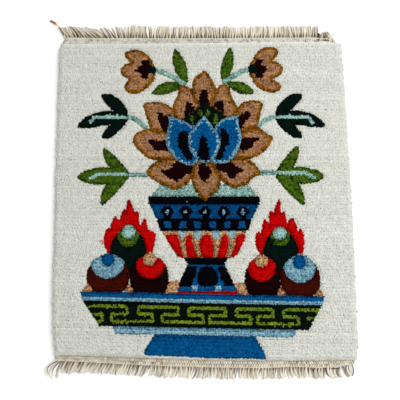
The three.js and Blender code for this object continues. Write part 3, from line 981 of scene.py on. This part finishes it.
def flower_yarns(flower):
    star, calyx = np.array(flower["star"]), np.array(flower["calyx"])

    def yarn(at, loose, depth):
        field = np.where(depth < ochre_width, "ochre", "tan").astype("<U16")
        field[inside(loose, star)] = "maroon"
        field[inside(at, calyx)] = "dark_green"
        return field

    return yarn


flower_ends = []
for flower in flowers:
    flower_ends.append(lay([smooth(flower["outline"])], flower_yarns(flower)))
    flower_ends.append(lay([stem(flower["stem"], flower_stem_width)], "teal"))
    for base, tip, left, right in reversed(flower["leaves"]):
        flower_ends.append(lay([petal(base, tip, left, right)], "mid_green"))
tufts("small_flowers_pile", np.concatenate(flower_ends), motif_rise)

# Sprigs: three leaves from one joint on a teal stem, with a teal vein down the middle
# leaf, in dark green beside the lotus and in mid green below it.
sprigs = [
    {
        "yarn": "mid_green",
        "joint": (106.5, 27.5),
        "stem": [(77, 29.4), (92, 30), (106, 29.6)],
        "vein": [(104, 29.6), (146, 29.2), (158, 23)],
        "leaves": [
            ((137, 69.7), 4.5, 12, 0.75),
            ((173, 24.7), 12, 12, 0.85),
            ((143.4, -16.9), 14, 4.5, 0.75),
        ],
    },
    {
        "yarn": "dark_green",
        "joint": (108.4, 111),
        "stem": [(79, 93.5), (91, 105.5), (108, 111)],
        "vein": [(107, 110.5), (130, 111), (152, 109.5), (158, 102.5)],
        "leaves": [
            ((145, 143.5), 12.5, 5.5, 0.9),
            ((178, 97), 15, 6, 0.8),
            ((143.5, 80), 7, 9, 0.9),
        ],
    },
    {
        "yarn": "mid_green",
        "joint": (-104, 27.4),
        "stem": [(-74, 26.8), (-90, 27), (-106, 27.4)],
        "vein": [(-104, 27.4), (-144, 27.6), (-155, 21.6)],
        "leaves": [
            ((-138, 66.3), 12, 4.5, 0.75),
            ((-174.3, 23.7), 12, 12, 0.85),
            ((-139, -17), 4.5, 14, 0.75),
        ],
    },
    {
        "yarn": "dark_green",
        "joint": (-107, 111),
        "stem": [(-77, 92), (-91, 105.5), (-107, 111)],
        "vein": [(-107, 110.5), (-130, 111), (-152, 109.5), (-157, 102.5)],
        "leaves": [
            ((-143.5, 143.3), 5.5, 12.5, 0.9),
            ((-176.5, 96), 6, 15, 0.85),
            ((-140.5, 79), 8.5, 7.5, 0.9),
        ],
    },
]
sprig_stem_width, vein_half, leaf_root = 6.2, 2.5, 4


def leaf_yarns(sprig):
    vein = np.array(sprig["vein"])

    def yarn(at, loose, depth):
        return np.where(reach(at, vein, False)[0] < vein_half, "teal", sprig["yarn"])

    return yarn


sprig_ends = []
for sprig in sprigs:
    leaves = []
    for tip, left, right, full in sprig["leaves"]:
        leaves.append(petal(sprig["joint"], tip, left, right, 0.25, full, leaf_root))
    sprig_ends.append(lay(leaves, leaf_yarns(sprig)))
    sprig_ends.append(lay([stem(sprig["stem"], sprig_stem_width)], "teal"))
tufts("sprigs_pile", np.concatenate(sprig_ends), motif_rise)

# Ground: undyed ivory wool over all that the motifs leave free, in four strips, and three
# rows of tufts round the rug's edge, where the outermost knots lean out over the floor.
wool("ivory", (172, 172, 162), (212, 213, 206), 0.1, 0.3, 1.08)
yarn_of[free] = "ivory"
ground = np.flatnonzero(free)
strips = np.array_split(ground[np.argsort(place[ground, 0])], 4)
for number, strip in enumerate(strips):
    tufts(f"ground_pile_{number + 1}", strip, 0)

tiers = [(1.5, 0.1, 2.5), (3.6, 0.3, 3), (5.6, 0.7, 3.4)]  # height, rise, length
wall_inset, tuft_pitch = 3.4, 2.1


def along_outline(pitch):
    """Places every so many millimetres round the pile, and the way out from each."""
    following = np.roll(pile_outline, -1, 0)
    spans = np.hypot(*(following - pile_outline).T)
    round_ = np.concatenate([[0], np.cumsum(spans)])
    marks = np.arange(0, round_[-1], pitch)
    closed = np.vstack([pile_outline, pile_outline[:1]])
    here, ahead = (
        np.column_stack([np.interp(m, round_, xy, period=round_[-1]) for xy in closed.T])
        for m in (marks, marks + 0.5)
    )
    way = unit(ahead - here)
    return here, np.column_stack([way[:, 1], -way[:, 0]])


rim_places, rim_out = along_outline(tuft_pitch)
side_roots, side_tips = [], []
for height, rise, length in tiers:
    jitter = chance.normal(0, 0.3, len(rim_places))
    spot = rim_places - rim_out * wall_inset
    lift = rise + chance.normal(0, 0.12, len(rim_places))
    way = unit(np.column_stack([rim_out, lift]))
    root = np.column_stack([spot, height + jitter])
    side_roots.append(root)
    side_tips.append(root + way * (length + chance.normal(0, 0.25, (len(root), 1))))
side_roots, side_tips = np.vstack(side_roots), np.vstack(side_tips)
side_yarns = np.full(len(side_roots), "ivory")
side_tone = 0.45 + chance.normal(0, 0.14, len(side_roots))
side_turn = chance.uniform(0, math.pi, len(side_roots))
brush("side_pile", side_roots, side_tips, side_yarns, side_tone, side_turn)

# Foundation: cotton warps and wefts that hold the knots, with the knots' backs in the
# pattern's colours underneath and overcast stitches round its edge. It stands for the
# whole pile in the checks.
foundation_top, foundation_under, selvedge_height = 6.0, 0.25, 1.7
foundation_inset, selvedge_inset, stitch_depth = 3.2, 1.0, 0.7
half_size = np.array([206.0, 221.0])
# The top face, seen only in the gaps between the tufts' roots, is kept near each yarn's shade
# colour: painted shade among the roots.
top_shade_tone, under_tone, selvedge_tone = 0.1, 0.45, 0.4
corner_u, corner_v = np.meshgrid(np.arange(columns + 1), np.arange(rows + 1))
corners = placed(corner_u.ravel(), corner_v.ravel())
number = len(corners)
inset_corners = corners * (1 - foundation_inset / half_size)
top = np.column_stack([inset_corners, np.full(number, foundation_top)])
under = np.column_stack([inset_corners, np.full(number, foundation_under)])
square = np.arange(number).reshape(rows + 1, columns + 1)
knots = [square[:-1, :-1], square[:-1, 1:], square[1:, 1:], square[1:, :-1]]
quads = np.stack(knots, axis=-1).reshape(-1, 4)
border = np.concatenate([square[0, :-1], square[:-1, -1], square[-1, :0:-1], square[:0:-1, 0]])
border_after = np.roll(border, -1)
stitch = selvedge_inset + stitch_depth * (np.arange(len(border)) % 2)
selvedge_xy = corners[border] * (1 - stitch[:, None] / half_size)
selvedge = np.column_stack([selvedge_xy, np.full(len(border), selvedge_height)])
ring = 2 * number + np.arange(len(border))
ring_after = np.roll(ring, -1)
upper_wall = np.stack([ring, ring_after, border_after, border], axis=1)
lower_wall = np.stack([border + number, border_after + number, ring_after, ring], axis=1)
faces = np.concatenate([quads, quads[:, ::-1] + number, upper_wall, lower_wall])
knot_yarn = np.full(columns * rows, "ivory", dtype="<U16")
knot_yarn[(np.floor(row_of) * columns + np.floor(column_of)).astype(int)] = yarn_of
names = sorted(set(knot_yarn))
face_yarn = np.concatenate([knot_yarn, knot_yarn, np.full(2 * len(border), "ivory")])
tones = [(number, top_shade_tone), (number, under_tone), (len(border), selvedge_tone)]
foundation = joined(
    "foundation",
    np.vstack([top, under, selvedge]),
    faces,
    [yarns[n] for n in names],
    np.searchsorted(names, face_yarn),
    tone=np.concatenate([np.full(*each) for each in tones]),
)
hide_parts("pile")
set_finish(foundation, "wool_pile")

# Flat-woven ends: a strip beyond each end of the pile, cotton weft stitched in slanting
# rows round pairs of cotton warps and beaten close, paler at the top than at the bottom.
stitches, stitch_rows = 122, 3
stitch_steps, row_steps = 7, 5
band_height, stitch_rise, stitch_slant = 2.2, 0.9, 0.6
tucked_under = 2  # how far the weave runs on beneath the pile
pile_side = 4  # how far the weave climbs where the first row of knots pushes it up


def cotton(name, shade, light, stained, patches=0.0):
    """Undyed cotton: its colour in the shade and in the light, the colour that wear and
    dust give its light parts, and how unevenly."""
    finish = Finish(name, Roughness=0.9, Specular_IOR_Level=0.08)
    tone = finish.node("ShaderNodeAttribute", {"attribute_name": "tone"}, {}, "Fac")
    stain = finish.node("ShaderNodeAttribute", {"attribute_name": "stain"}, {}, "Fac")
    fibres = finish.noise(0.5, 3)
    dust = finish.noise(9, 2)
    mixed = tone + (fibres - 0.5) * 0.35 + (dust - 0.5) * patches
    worn = finish.blend(linear(*light), linear(*stained), stain + (0.5 - dust) * patches)
    finish.set("Base Color", finish.blend(linear(*shade), worn, mixed))
    finish.bump(fibres, 0.2, 0.5)
    return finish.material


def woven_end(name, material, pile_column, band_column, start, stop, facing):
    """A closed strip whose cross-sections follow each other from left to right."""
    across = np.linspace(0, stitches, stitch_steps * stitches + 1)
    up = np.linspace(0, stitch_rows, row_steps * stitch_rows + 1)
    over, beyond = np.meshgrid(across, up, indexing="ij")
    left, right = (a + (b - a) * beyond / stitch_rows for a, b in (start, stop))
    x = left + (right - left) * over / stitches
    inner = end_line(x, pile_column) - facing * tucked_under
    y = inner + (end_line(x, band_column) - inner) * beyond / stitch_rows
    lean = np.where(np.floor(beyond) % 2 == 0, 1, -1) * (beyond % 1) * stitch_slant
    bulge = np.abs(np.sin(math.pi * (over + lean)))
    row_bulge = np.abs(np.sin(math.pi * beyond))
    z = band_height + stitch_rise * np.sqrt(bulge * (0.6 + 0.4 * row_bulge))
    z += pile_side * (1 - beyond / stitch_rows) ** 3
    # Painted shade: the weave is darker in the dips between stitches and between rows.
    tone = np.minimum(1.9 * bulge - 0.38, 0.95) * (0.7 + 0.3 * row_bulge)
    stitch_tone = chance.normal(0, 0.16, (stitches + 1, stitch_rows))
    stitch_here = np.arange(len(across)) // stitch_steps
    row_here = np.minimum(np.arange(len(up)) // row_steps, stitch_rows - 1)
    tone += stitch_tone[np.ix_(stitch_here, row_here)]
    section = np.stack([x, y, z], axis=-1)
    below = section[:, ::-1][:, [0, -1]] * (1, 1, 0)
    vertices = np.concatenate([section, below], axis=1)
    closing = vertices[[0, -1]] * (1, 1, 0)
    vertices = np.concatenate([closing[:1], vertices, closing[1:]])
    tone = np.concatenate([tone, np.full((len(across), 2), 0.4)], axis=1)
    tone = np.concatenate([tone[:1], tone, tone[-1:]])
    each = vertices.shape[1]
    here = np.arange(each)
    after = (here + 1) % each
    pattern = np.stack([here, here + each, after + each, after], axis=1)
    faces = repeated(pattern, each, len(across) + 1)[:, ::-facing]
    piece = joined(name, vertices.reshape(-1, 3), faces, [material], tone=tone)
    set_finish(piece, "cotton_warp")
    return piece


weave_top = cotton("cotton_weave_top", (90, 82, 56), (216, 215, 205), (188, 183, 158), 0.35)
weave_bottom = cotton("cotton_weave_bottom", (84, 69, 38), (219, 213, 195), (194, 182, 149), 0.4)
starts, stops = (-205, -201.5), (201, 197)
band_top = woven_end("woven_end_top", weave_top, 1, 3, starts, stops, 1)
starts, stops = (-196.5, -197), (207.2, 206.4)
band_bottom = woven_end("woven_end_bottom", weave_bottom, 2, 4, starts, stops, -1)
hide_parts("fringed_band_top")
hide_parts("fringed_band_bottom")

# Twined cords: two pale cotton yarns twisted round each other over the warps, along the
# outer edge of each flat-woven end.
twine = cotton("cotton_twine", (130, 112, 80), (222, 216, 200), (186, 172, 140), 0.7)
ply_radius, ply_offset, cord_inset, twist_pitch = 0.6, 0.45, 0.5, 4.3
above_weave, cord_points, thread_lowest = 0.3, 760, 0.05


def threads(name, lines, radius, material, tone, sides, slot, stain=0.0):
    """Tubes along lines of equally many points, with a radius and a tone at each."""
    number, points = lines.shape[:2]
    way = unit(np.gradient(lines, axis=1))
    level = unit(np.cross(way, (0, 0, 1.0)))
    upright = np.cross(level, way)
    turn = np.arange(sides) * 2 * math.pi / sides
    ring = level[:, :, None] * np.cos(turn)[:, None]
    ring = ring + upright[:, :, None] * np.sin(turn)[:, None]
    thick = np.broadcast_to(radius, (number, points))
    vertices = lines[:, :, None] + ring * thick[:, :, None, None]
    vertices[..., 2] = np.maximum(vertices[..., 2], thread_lowest)
    here = np.arange(sides)
    after = (here + 1) % sides
    one = np.stack([here, here + sides, after + sides, after], axis=1)
    tube = repeated(one, sides, points - 1)
    faces = repeated(tube, sides * points, number)
    shade = np.broadcast_to(tone[:, :, None], (number, points, sides))
    worn = np.broadcast_to(np.asarray(stain)[..., None], shade.shape)
    places = vertices.reshape(-1, 3)
    piece = joined(name, places, faces, [material], tone=shade, stain=worn)
    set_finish(piece, slot)
    return piece


def twined_cord(name, band_column, start, stop, facing, node, light):
    x = np.linspace(start, stop, cord_points)
    middle_height = band_height + ply_radius + above_weave
    y = end_line(x, band_column) - facing * cord_inset
    turn = (x - start) * 2 * math.pi / twist_pitch
    plies = []
    for phase in (0, math.pi):
        out = ply_offset * np.cos(turn + phase)
        up = ply_offset * np.sin(turn + phase)
        plies.append(np.column_stack([x, y + out, middle_height + up]))
    tone = light + chance.normal(0, 0.05, (2, len(x)))
    piece = threads(name, np.array(plies), ply_radius, twine, tone, 6, "twine")
    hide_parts(node)


twined_cord("twined_yarns_top", 3, -202, 197, 1, "twined_cord_top", 0.85)
twined_cord("twined_yarns_bottom", 4, -197.5, 205, -1, "twined_cord_bottom", 0.7)

# Fringe: the warp ends, cut and left as locks of soft yarn. Each leaves the weave narrow
# and tan, opens towards its paler tip, and has darker yarns in the gaps beside it,
# dun-coloured cotton that also paints the shade in the gaps near the roots.
fringe_cotton = cotton("cotton_fringe", (46, 32, 12), (242, 239, 229), (200, 182, 146), 0.3)
# Place across, reach, how far the tip lies aside, bow, how far the gaps' painted shade runs, and
# lightness.
top_fringe = np.array(
    [
        (-202, 18, -9, 0, 0.6, 0.66),
        (-191, 19, -11.5, 0, 0.6, 0.6),
        (-175, 18, -14, 1, 0.9, 0.62),
        (-160, 17.5, -18, 1.5, 0.9, 0.7),
        (-144, 17.5, -18, 1, 0.9, 0.72),
        (-131, 18, -14, 1, 0.9, 0.7),
        (-119, 19, -9, 0.6, 0.8, 0.66),
        (-110, 20, -3, 0, 0.6, 0.64),
        (-85, 20, 0, 0, 0.6, 0.68),
        (-30, 20, 1, 0.6, 0.55, 0.7),
        (30, 20, -1, -0.6, 0.55, 0.76),
        (90, 19, 1, 0.4, 0.5, 0.8),
        (140, 20, 1, -0.6, 0.5, 0.74),
        (171, 20, -1, 0, 0.6, 0.66),
    ]
)
bottom_fringe = np.array(
    [
        (-195.8, 21, -13, -10, 1, 0.84),
        (-190, 22, -12, -6, 1, 0.8),
        (-184, 20, -10, -3, 1, 0.8),
        (-178, 16.5, -10, -1, 0.95, 0.8),
        (-150, 15, -9, 0, 0.8, 0.8),
        (-110, 14.5, -6, -1, 0.7, 0.8),
        (-60, 15, -4, 1, 0.7, 0.78),
        (0, 15, -2, 1, 0.7, 0.78),
        (60, 15, 0, -1, 0.7, 0.78),
        (110, 15, 2, -1.5, 0.8, 0.78),
        (165, 14, 3, -2, 0.85, 0.8),
    ]
)
yarns_per_lock, yarn_points = 13, 7
lock_pitch = 4.25
root_half, lock_thick, foot_tuck = 1, 0.9, 0.6
bunch_pitch, streak_half, streak_shade = 17, 0.28, 0.55


def fringe(name, table, band_column, tip_half, gap_shade_yarns, gap_tone, facing):
    """Locks from their roots in the weave to their tips, and the darker yarns between that paint
    the gaps' shade.
    """
    start, stop = table[0, 0], table[-1, 0]
    locks = round((stop - start) / lock_pitch)
    root = start + (np.arange(locks) + 0.5) * lock_pitch + chance.normal(0, 0.3, locks)
    out, aside, bow, gap_shade_share, light = (np.interp(root, table[:, 0], c) for c in table[:, 1:].T)
    bunch_marks = np.arange(start, stop + bunch_pitch, bunch_pitch)
    bunches = np.interp(root, bunch_marks, chance.normal(0, 1.5, len(bunch_marks)))
    out = out + 0.7 + chance.normal(0, 0.7, locks)
    aside = aside + bunches + chance.normal(0, 0.7, locks)
    bow = bow + chance.normal(0, 0.8, locks)
    light = light + chance.normal(0, 0.06, locks)
    stain = chance.uniform(0, 0.5, locks)
    streak = chance.uniform(-1, 1, locks)
    share = np.linspace(0, 1, yarn_points)

    def laid(which, length, spread, height):
        part = (length / out[which])[:, None]
        bowed = 4 * bow[which, None] * share * part * (1 - share * part)
        x = root[which, None] + aside[which, None] * part * share + spread + bowed
        foot = end_line(root[which], band_column) - facing * foot_tuck
        y = foot[:, None] + facing * length[:, None] * share
        return np.stack([x, y, np.broadcast_to(height, x.shape)], axis=-1)

    which = np.repeat(np.arange(locks), yarns_per_lock)
    number = len(which)
    start_spread = chance.uniform(-1, 1, (number, 1))
    spread = start_spread * (root_half + (tip_half - root_half) * share**1.3)
    spread = spread + chance.normal(0, 0.35, (number, 1)) * share * (1 - share) * 4
    above = chance.uniform(-1, 1, (number, 1)) * np.sqrt(1 - start_spread**2)
    arch = chance.uniform(0, 1.2, (locks, 1))[which] * np.sin(math.pi * share)
    height = 0.45 + lock_thick * (1 + above) * (1 - 0.45 * share) + arch
    height = height + (band_height - 1) * (1 - share) ** 4
    length = out[which] * (1 - 0.06 * start_spread[:, 0] ** 2 + chance.normal(0, 0.05, number))
    lines = laid(which, length, spread, height)
    # Painted shade: yarns low in a lock, at its edges and in one streak of it are darker, mostly
    # near the roots, and each yarn lightens towards its tip, partly painting the shade among the
    # crowded roots.
    tone = light[which, None] + chance.normal(0.08, 0.22, (number, 1)) + 0.14 * above
    streaked = np.abs(start_spread - streak[which, None]) < streak_half
    tone = tone - streak_shade * streaked
    tone = tone + 0.26 * share + 0.14 * share**5
    tone = tone - 0.4 * np.abs(start_spread) ** 3 * (1 - share) ** 0.7
    worn = stain[which, None] + 0.4 * (1 - share) ** 1.5
    radius = 0.48 - 0.24 * share**2
    threads(name, lines, radius, fringe_cotton, tone, 4, "cotton_warp", worn)
    # Painted shade: darker yarns in the gaps between locks, darkest near the roots.
    which = np.repeat(np.arange(locks), gap_shade_yarns)
    number = len(which)
    spread = lock_pitch / 2 + chance.uniform(-0.8, 0.8, (number, 1)) + 0 * share
    length = out[which] * chance.uniform(0.7, 0.98, number)
    lines = laid(which, length, spread, 1 + 1.8 * (1 - share) ** 1.5)
    tone = gap_tone + chance.uniform(-0.1, 0.1, (number, 1)) + 0.3 * (1 - share) ** 12
    tone = tone + 0.8 * (share / gap_shade_share[which, None]) ** 2.5
    radius = 0.6 - 0.3 * share
    threads(name + "_gap_shade", lines, radius, fringe_cotton, tone, 4, "cotton_warp", 0.6)


fringe("fringe_top", top_fringe, 3, 2.6, 7, -0.04, 1)
fringe("fringe_bottom", bottom_fringe, 4, 2.4, 4, 0.1, -1)

# Tangles: locks that are crossed, looped or pulled loose at three corners, each with its
# height, half width, tone and stain, one strand thick and golden at its loose end.
corner_locks = [
    (2.6, 1.1, 0.1, 0.9, [(173.8, 227.5), (172.9, 232.4), (174.7, 237.4), (171.6, 241.3)]),
    (3.4, 0.6, 0.5, 1, [(175.4, 228.5), (174.2, 232.4), (176, 236.4), (174, 241)]),
    (2.2, 1.3, 0.85, 0.1, [(178.6, 229.5), (178.2, 233), (179.4, 238), (180.6, 243)]),
    (3.2, 0.8, 0.5, 1, [(180.6, 241.3), (183.8, 238.4), (186.2, 235.9), (189.3, 232.4)]),
    (3, 0.8, 0.56, 0.9, [(185, 244.8), (183.4, 242.4), (182.2, 240.2), (180.4, 234.8)]),
    # The next two, near black, lie where shade falls in the tangle: dark cotton strands that paint
    # that shade.
    (1.8, 2.2, -0.05, 1, [(179.2, 229.9), (183.2, 230.2), (187.2, 229.3), (194.4, 225.3)]),
    (1.6, 1.6, 0, 1, [(180.6, 232.6), (184.8, 232.4), (188.4, 230.6), (191, 228.6)]),
    (4.6, 0.9, 0.95, 0.1, [(189.1, 225.7), (190.3, 232.4), (192.6, 237.4), (196.9, 238.7)]),
    (4, 0.8, 0.85, 0.2, [(191.5, 235.9), (192.8, 234), (194.6, 231.3), (197.5, 227)]),
    (3.4, 1.1, 0.95, 0, [(181.2, 240.9), (184.4, 243.7), (188.6, 242), (190.6, 239.1)]),
    (2.4, 0.9, 0.08, 1, [(181, 236.5), (183, 234.2), (185, 231.8), (187.4, 229)]),
    (1.6, 1.6, 0.7, 0.5, [(184, 233), (185, 236.5), (186.6, 239.5), (187, 242.5)]),
    (1.8, 0.7, 0.25, 0.9, [(168.6, -234), (168.4, -238.5), (170, -243), (174, -246.8)]),
    (2.4, 1.8, 0.95, 0, [(171.2, -234), (170.8, -239), (173, -244), (178.4, -247.6)]),
    (1.8, 2.2, 1, 0, [(175.4, -234.5), (174.4, -239.6), (176.4, -243.6), (181.4, -247.6)]),
    (2, 1.5, 0.9, 0.1, [(180, -234.5), (179.4, -239.5), (180.2, -243.2), (184, -247.4)]),
    (2.6, 0.7, 0.5, 1, [(184, -235.3), (183, -239.5), (182.7, -242.2), (185.6, -247.2)]),
    (2, 1.8, 0.95, 0, [(188.2, -234.5), (186.8, -239), (186.6, -243), (189.8, -247.6)]),
    (3.2, 0.5, 0.25, 1, [(171.6, -236.2), (177, -236.4), (182, -236), (191.2, -234.9)]),
    (2.6, 0.55, 0.6, 0.9, [(192.6, -233), (192.4, -238), (195, -243.6), (199.4, -246.8)]),
    (3.4, 0.45, 0.55, 0.9, [(196.8, -232), (194.2, -236.5), (193.6, -241), (197, -245.4)]),
    (2.6, 1.2, 0.95, 0, [(196.4, -232.6), (196.6, -238), (198.4, -242), (202, -244.6)]),
    (2, 1.4, 0.92, 0.1, [(200.2, -231.6), (199.8, -236), (200.6, -240.4), (203.4, -244)]),
    (2.6, 0.45, 0.55, 0.9, [(203.4, -230.8), (204.9, -236.2), (205, -241.2), (203.6, -246.2)]),
]
tangle_yarns, tangle_points = 9, 11


def through(points, steps):
    """A smooth line through four points in a row."""
    a, b, c, d = np.array(points, float)
    early = (-5 * a + 18 * b - 9 * c + 2 * d) / 6
    late = (2 * a - 9 * b + 18 * c - 5 * d) / 6
    return curve([a, early, late, d], steps)


share = np.linspace(0, 1, tangle_points)
lines, tones, stains = [], [], []
for height, half, tone, stain, points in corner_locks:
    line = through(points, tangle_points)
    across = sideways(line)
    arch = lock_thick + (height - lock_thick) * np.sin(math.pi * (0.2 + 0.65 * share))
    for spread in np.linspace(-1, 1, tangle_yarns):
        spread += chance.normal(0, 0.1)
        wide = half * spread * (0.6 + 0.4 * share)
        round_up = 0.8 * half * math.sqrt(max(1 - spread**2, 0)) * chance.uniform(0.5, 1)
        lines.append(np.column_stack([line + across * wide[:, None], arch + round_up]))
        # Painted shade: yarns at a lock's edges are darker.
        tones.append(tone + chance.normal(0, 0.1) - 0.25 * abs(spread) ** 3 + 0.05 * share)
        stains.append(stain + 0 * share)
tangle_cotton = cotton("cotton_tangles", (40, 25, 5), (230, 225, 210), (176, 150, 108), 0.3)
radius = 0.42 - 0.16 * share**2
lines, tones, stains = np.array(lines), np.array(tones), np.array(stains)
threads("fringe_tangles", lines, radius, tangle_cotton, tones, 4, "cotton_warp", stains)

loose_points = [(-202.4, 238), (-209.6, 249.2), (-216, 256.4), (-224.6, 261.4)]
loose_steps = 25
loose_line = through(loose_points, loose_steps)
loose = np.column_stack([loose_line, np.linspace(4.6, 1.3, loose_steps)])[None]
along = np.linspace(0, 1, loose_steps)
loose_thick = np.interp(along, (0, 0.55, 0.66, 0.95, 1), (0.7, 0.5, 1.55, 1.5, 0.8))
golden = cotton("cotton_golden", (50, 34, 12), (226, 178, 112), (160, 122, 58))
tone_marks, tone_values = (0, 0.3, 0.4, 0.62, 0.8, 1), (0.02, 0.1, 0.95, 0.95, 0.75, 0.6)
tone = np.interp(along, tone_marks, tone_values)[None]
stain = np.interp(along, (0.5, 0.68), (0, 1))
threads("fringe_loose_strand", loose, loose_thick, golden, tone, 8, "cotton_warp", stain)

# Specks: four bits of lint and a bent end of red wool that lie loose on the pile.
lint = [
    (-153.3, -186.9, 11.4, 0.02),
    (58.6, -89.9, 11.5, 0.12),
    (201.8, 35.2, 10.6, 0.3),
    (-19.7, -11.4, 12.9, 0.8),
]
lint_half, lint_thick = 0.9, np.array([0.3, 0.7, 0.3])
for number, (x, y, z, tone) in enumerate(lint):
    speck = [(x - lint_half, y, z), (x, y + 0.3, z + 0.2), (x + lint_half, y - 0.2, z)]
    name, tones = f"lint_{number + 1}", np.full((1, 3), tone)
    threads(name, np.array([speck]), lint_thick, fringe_cotton, tones, 5, "wool_pile", 1)

red_points = [(-138.6, -67.6), (-137.6, -64.8), (-135, -65.6), (-136.4, -70)]
red_steps, red_height, red_radius = 15, 11.9, 0.5
red_line = through(red_points, red_steps)
red_thread = np.column_stack([red_line, np.full(red_steps, red_height)])[None]
red_wool = cotton("wool_red_thread", (112, 0, 0), (214, 20, 36), (214, 20, 36))
tone = np.full((1, red_steps), 0.8)
threads("loose_red_thread", red_thread, red_radius, red_wool, tone, 5, "wool_pile")
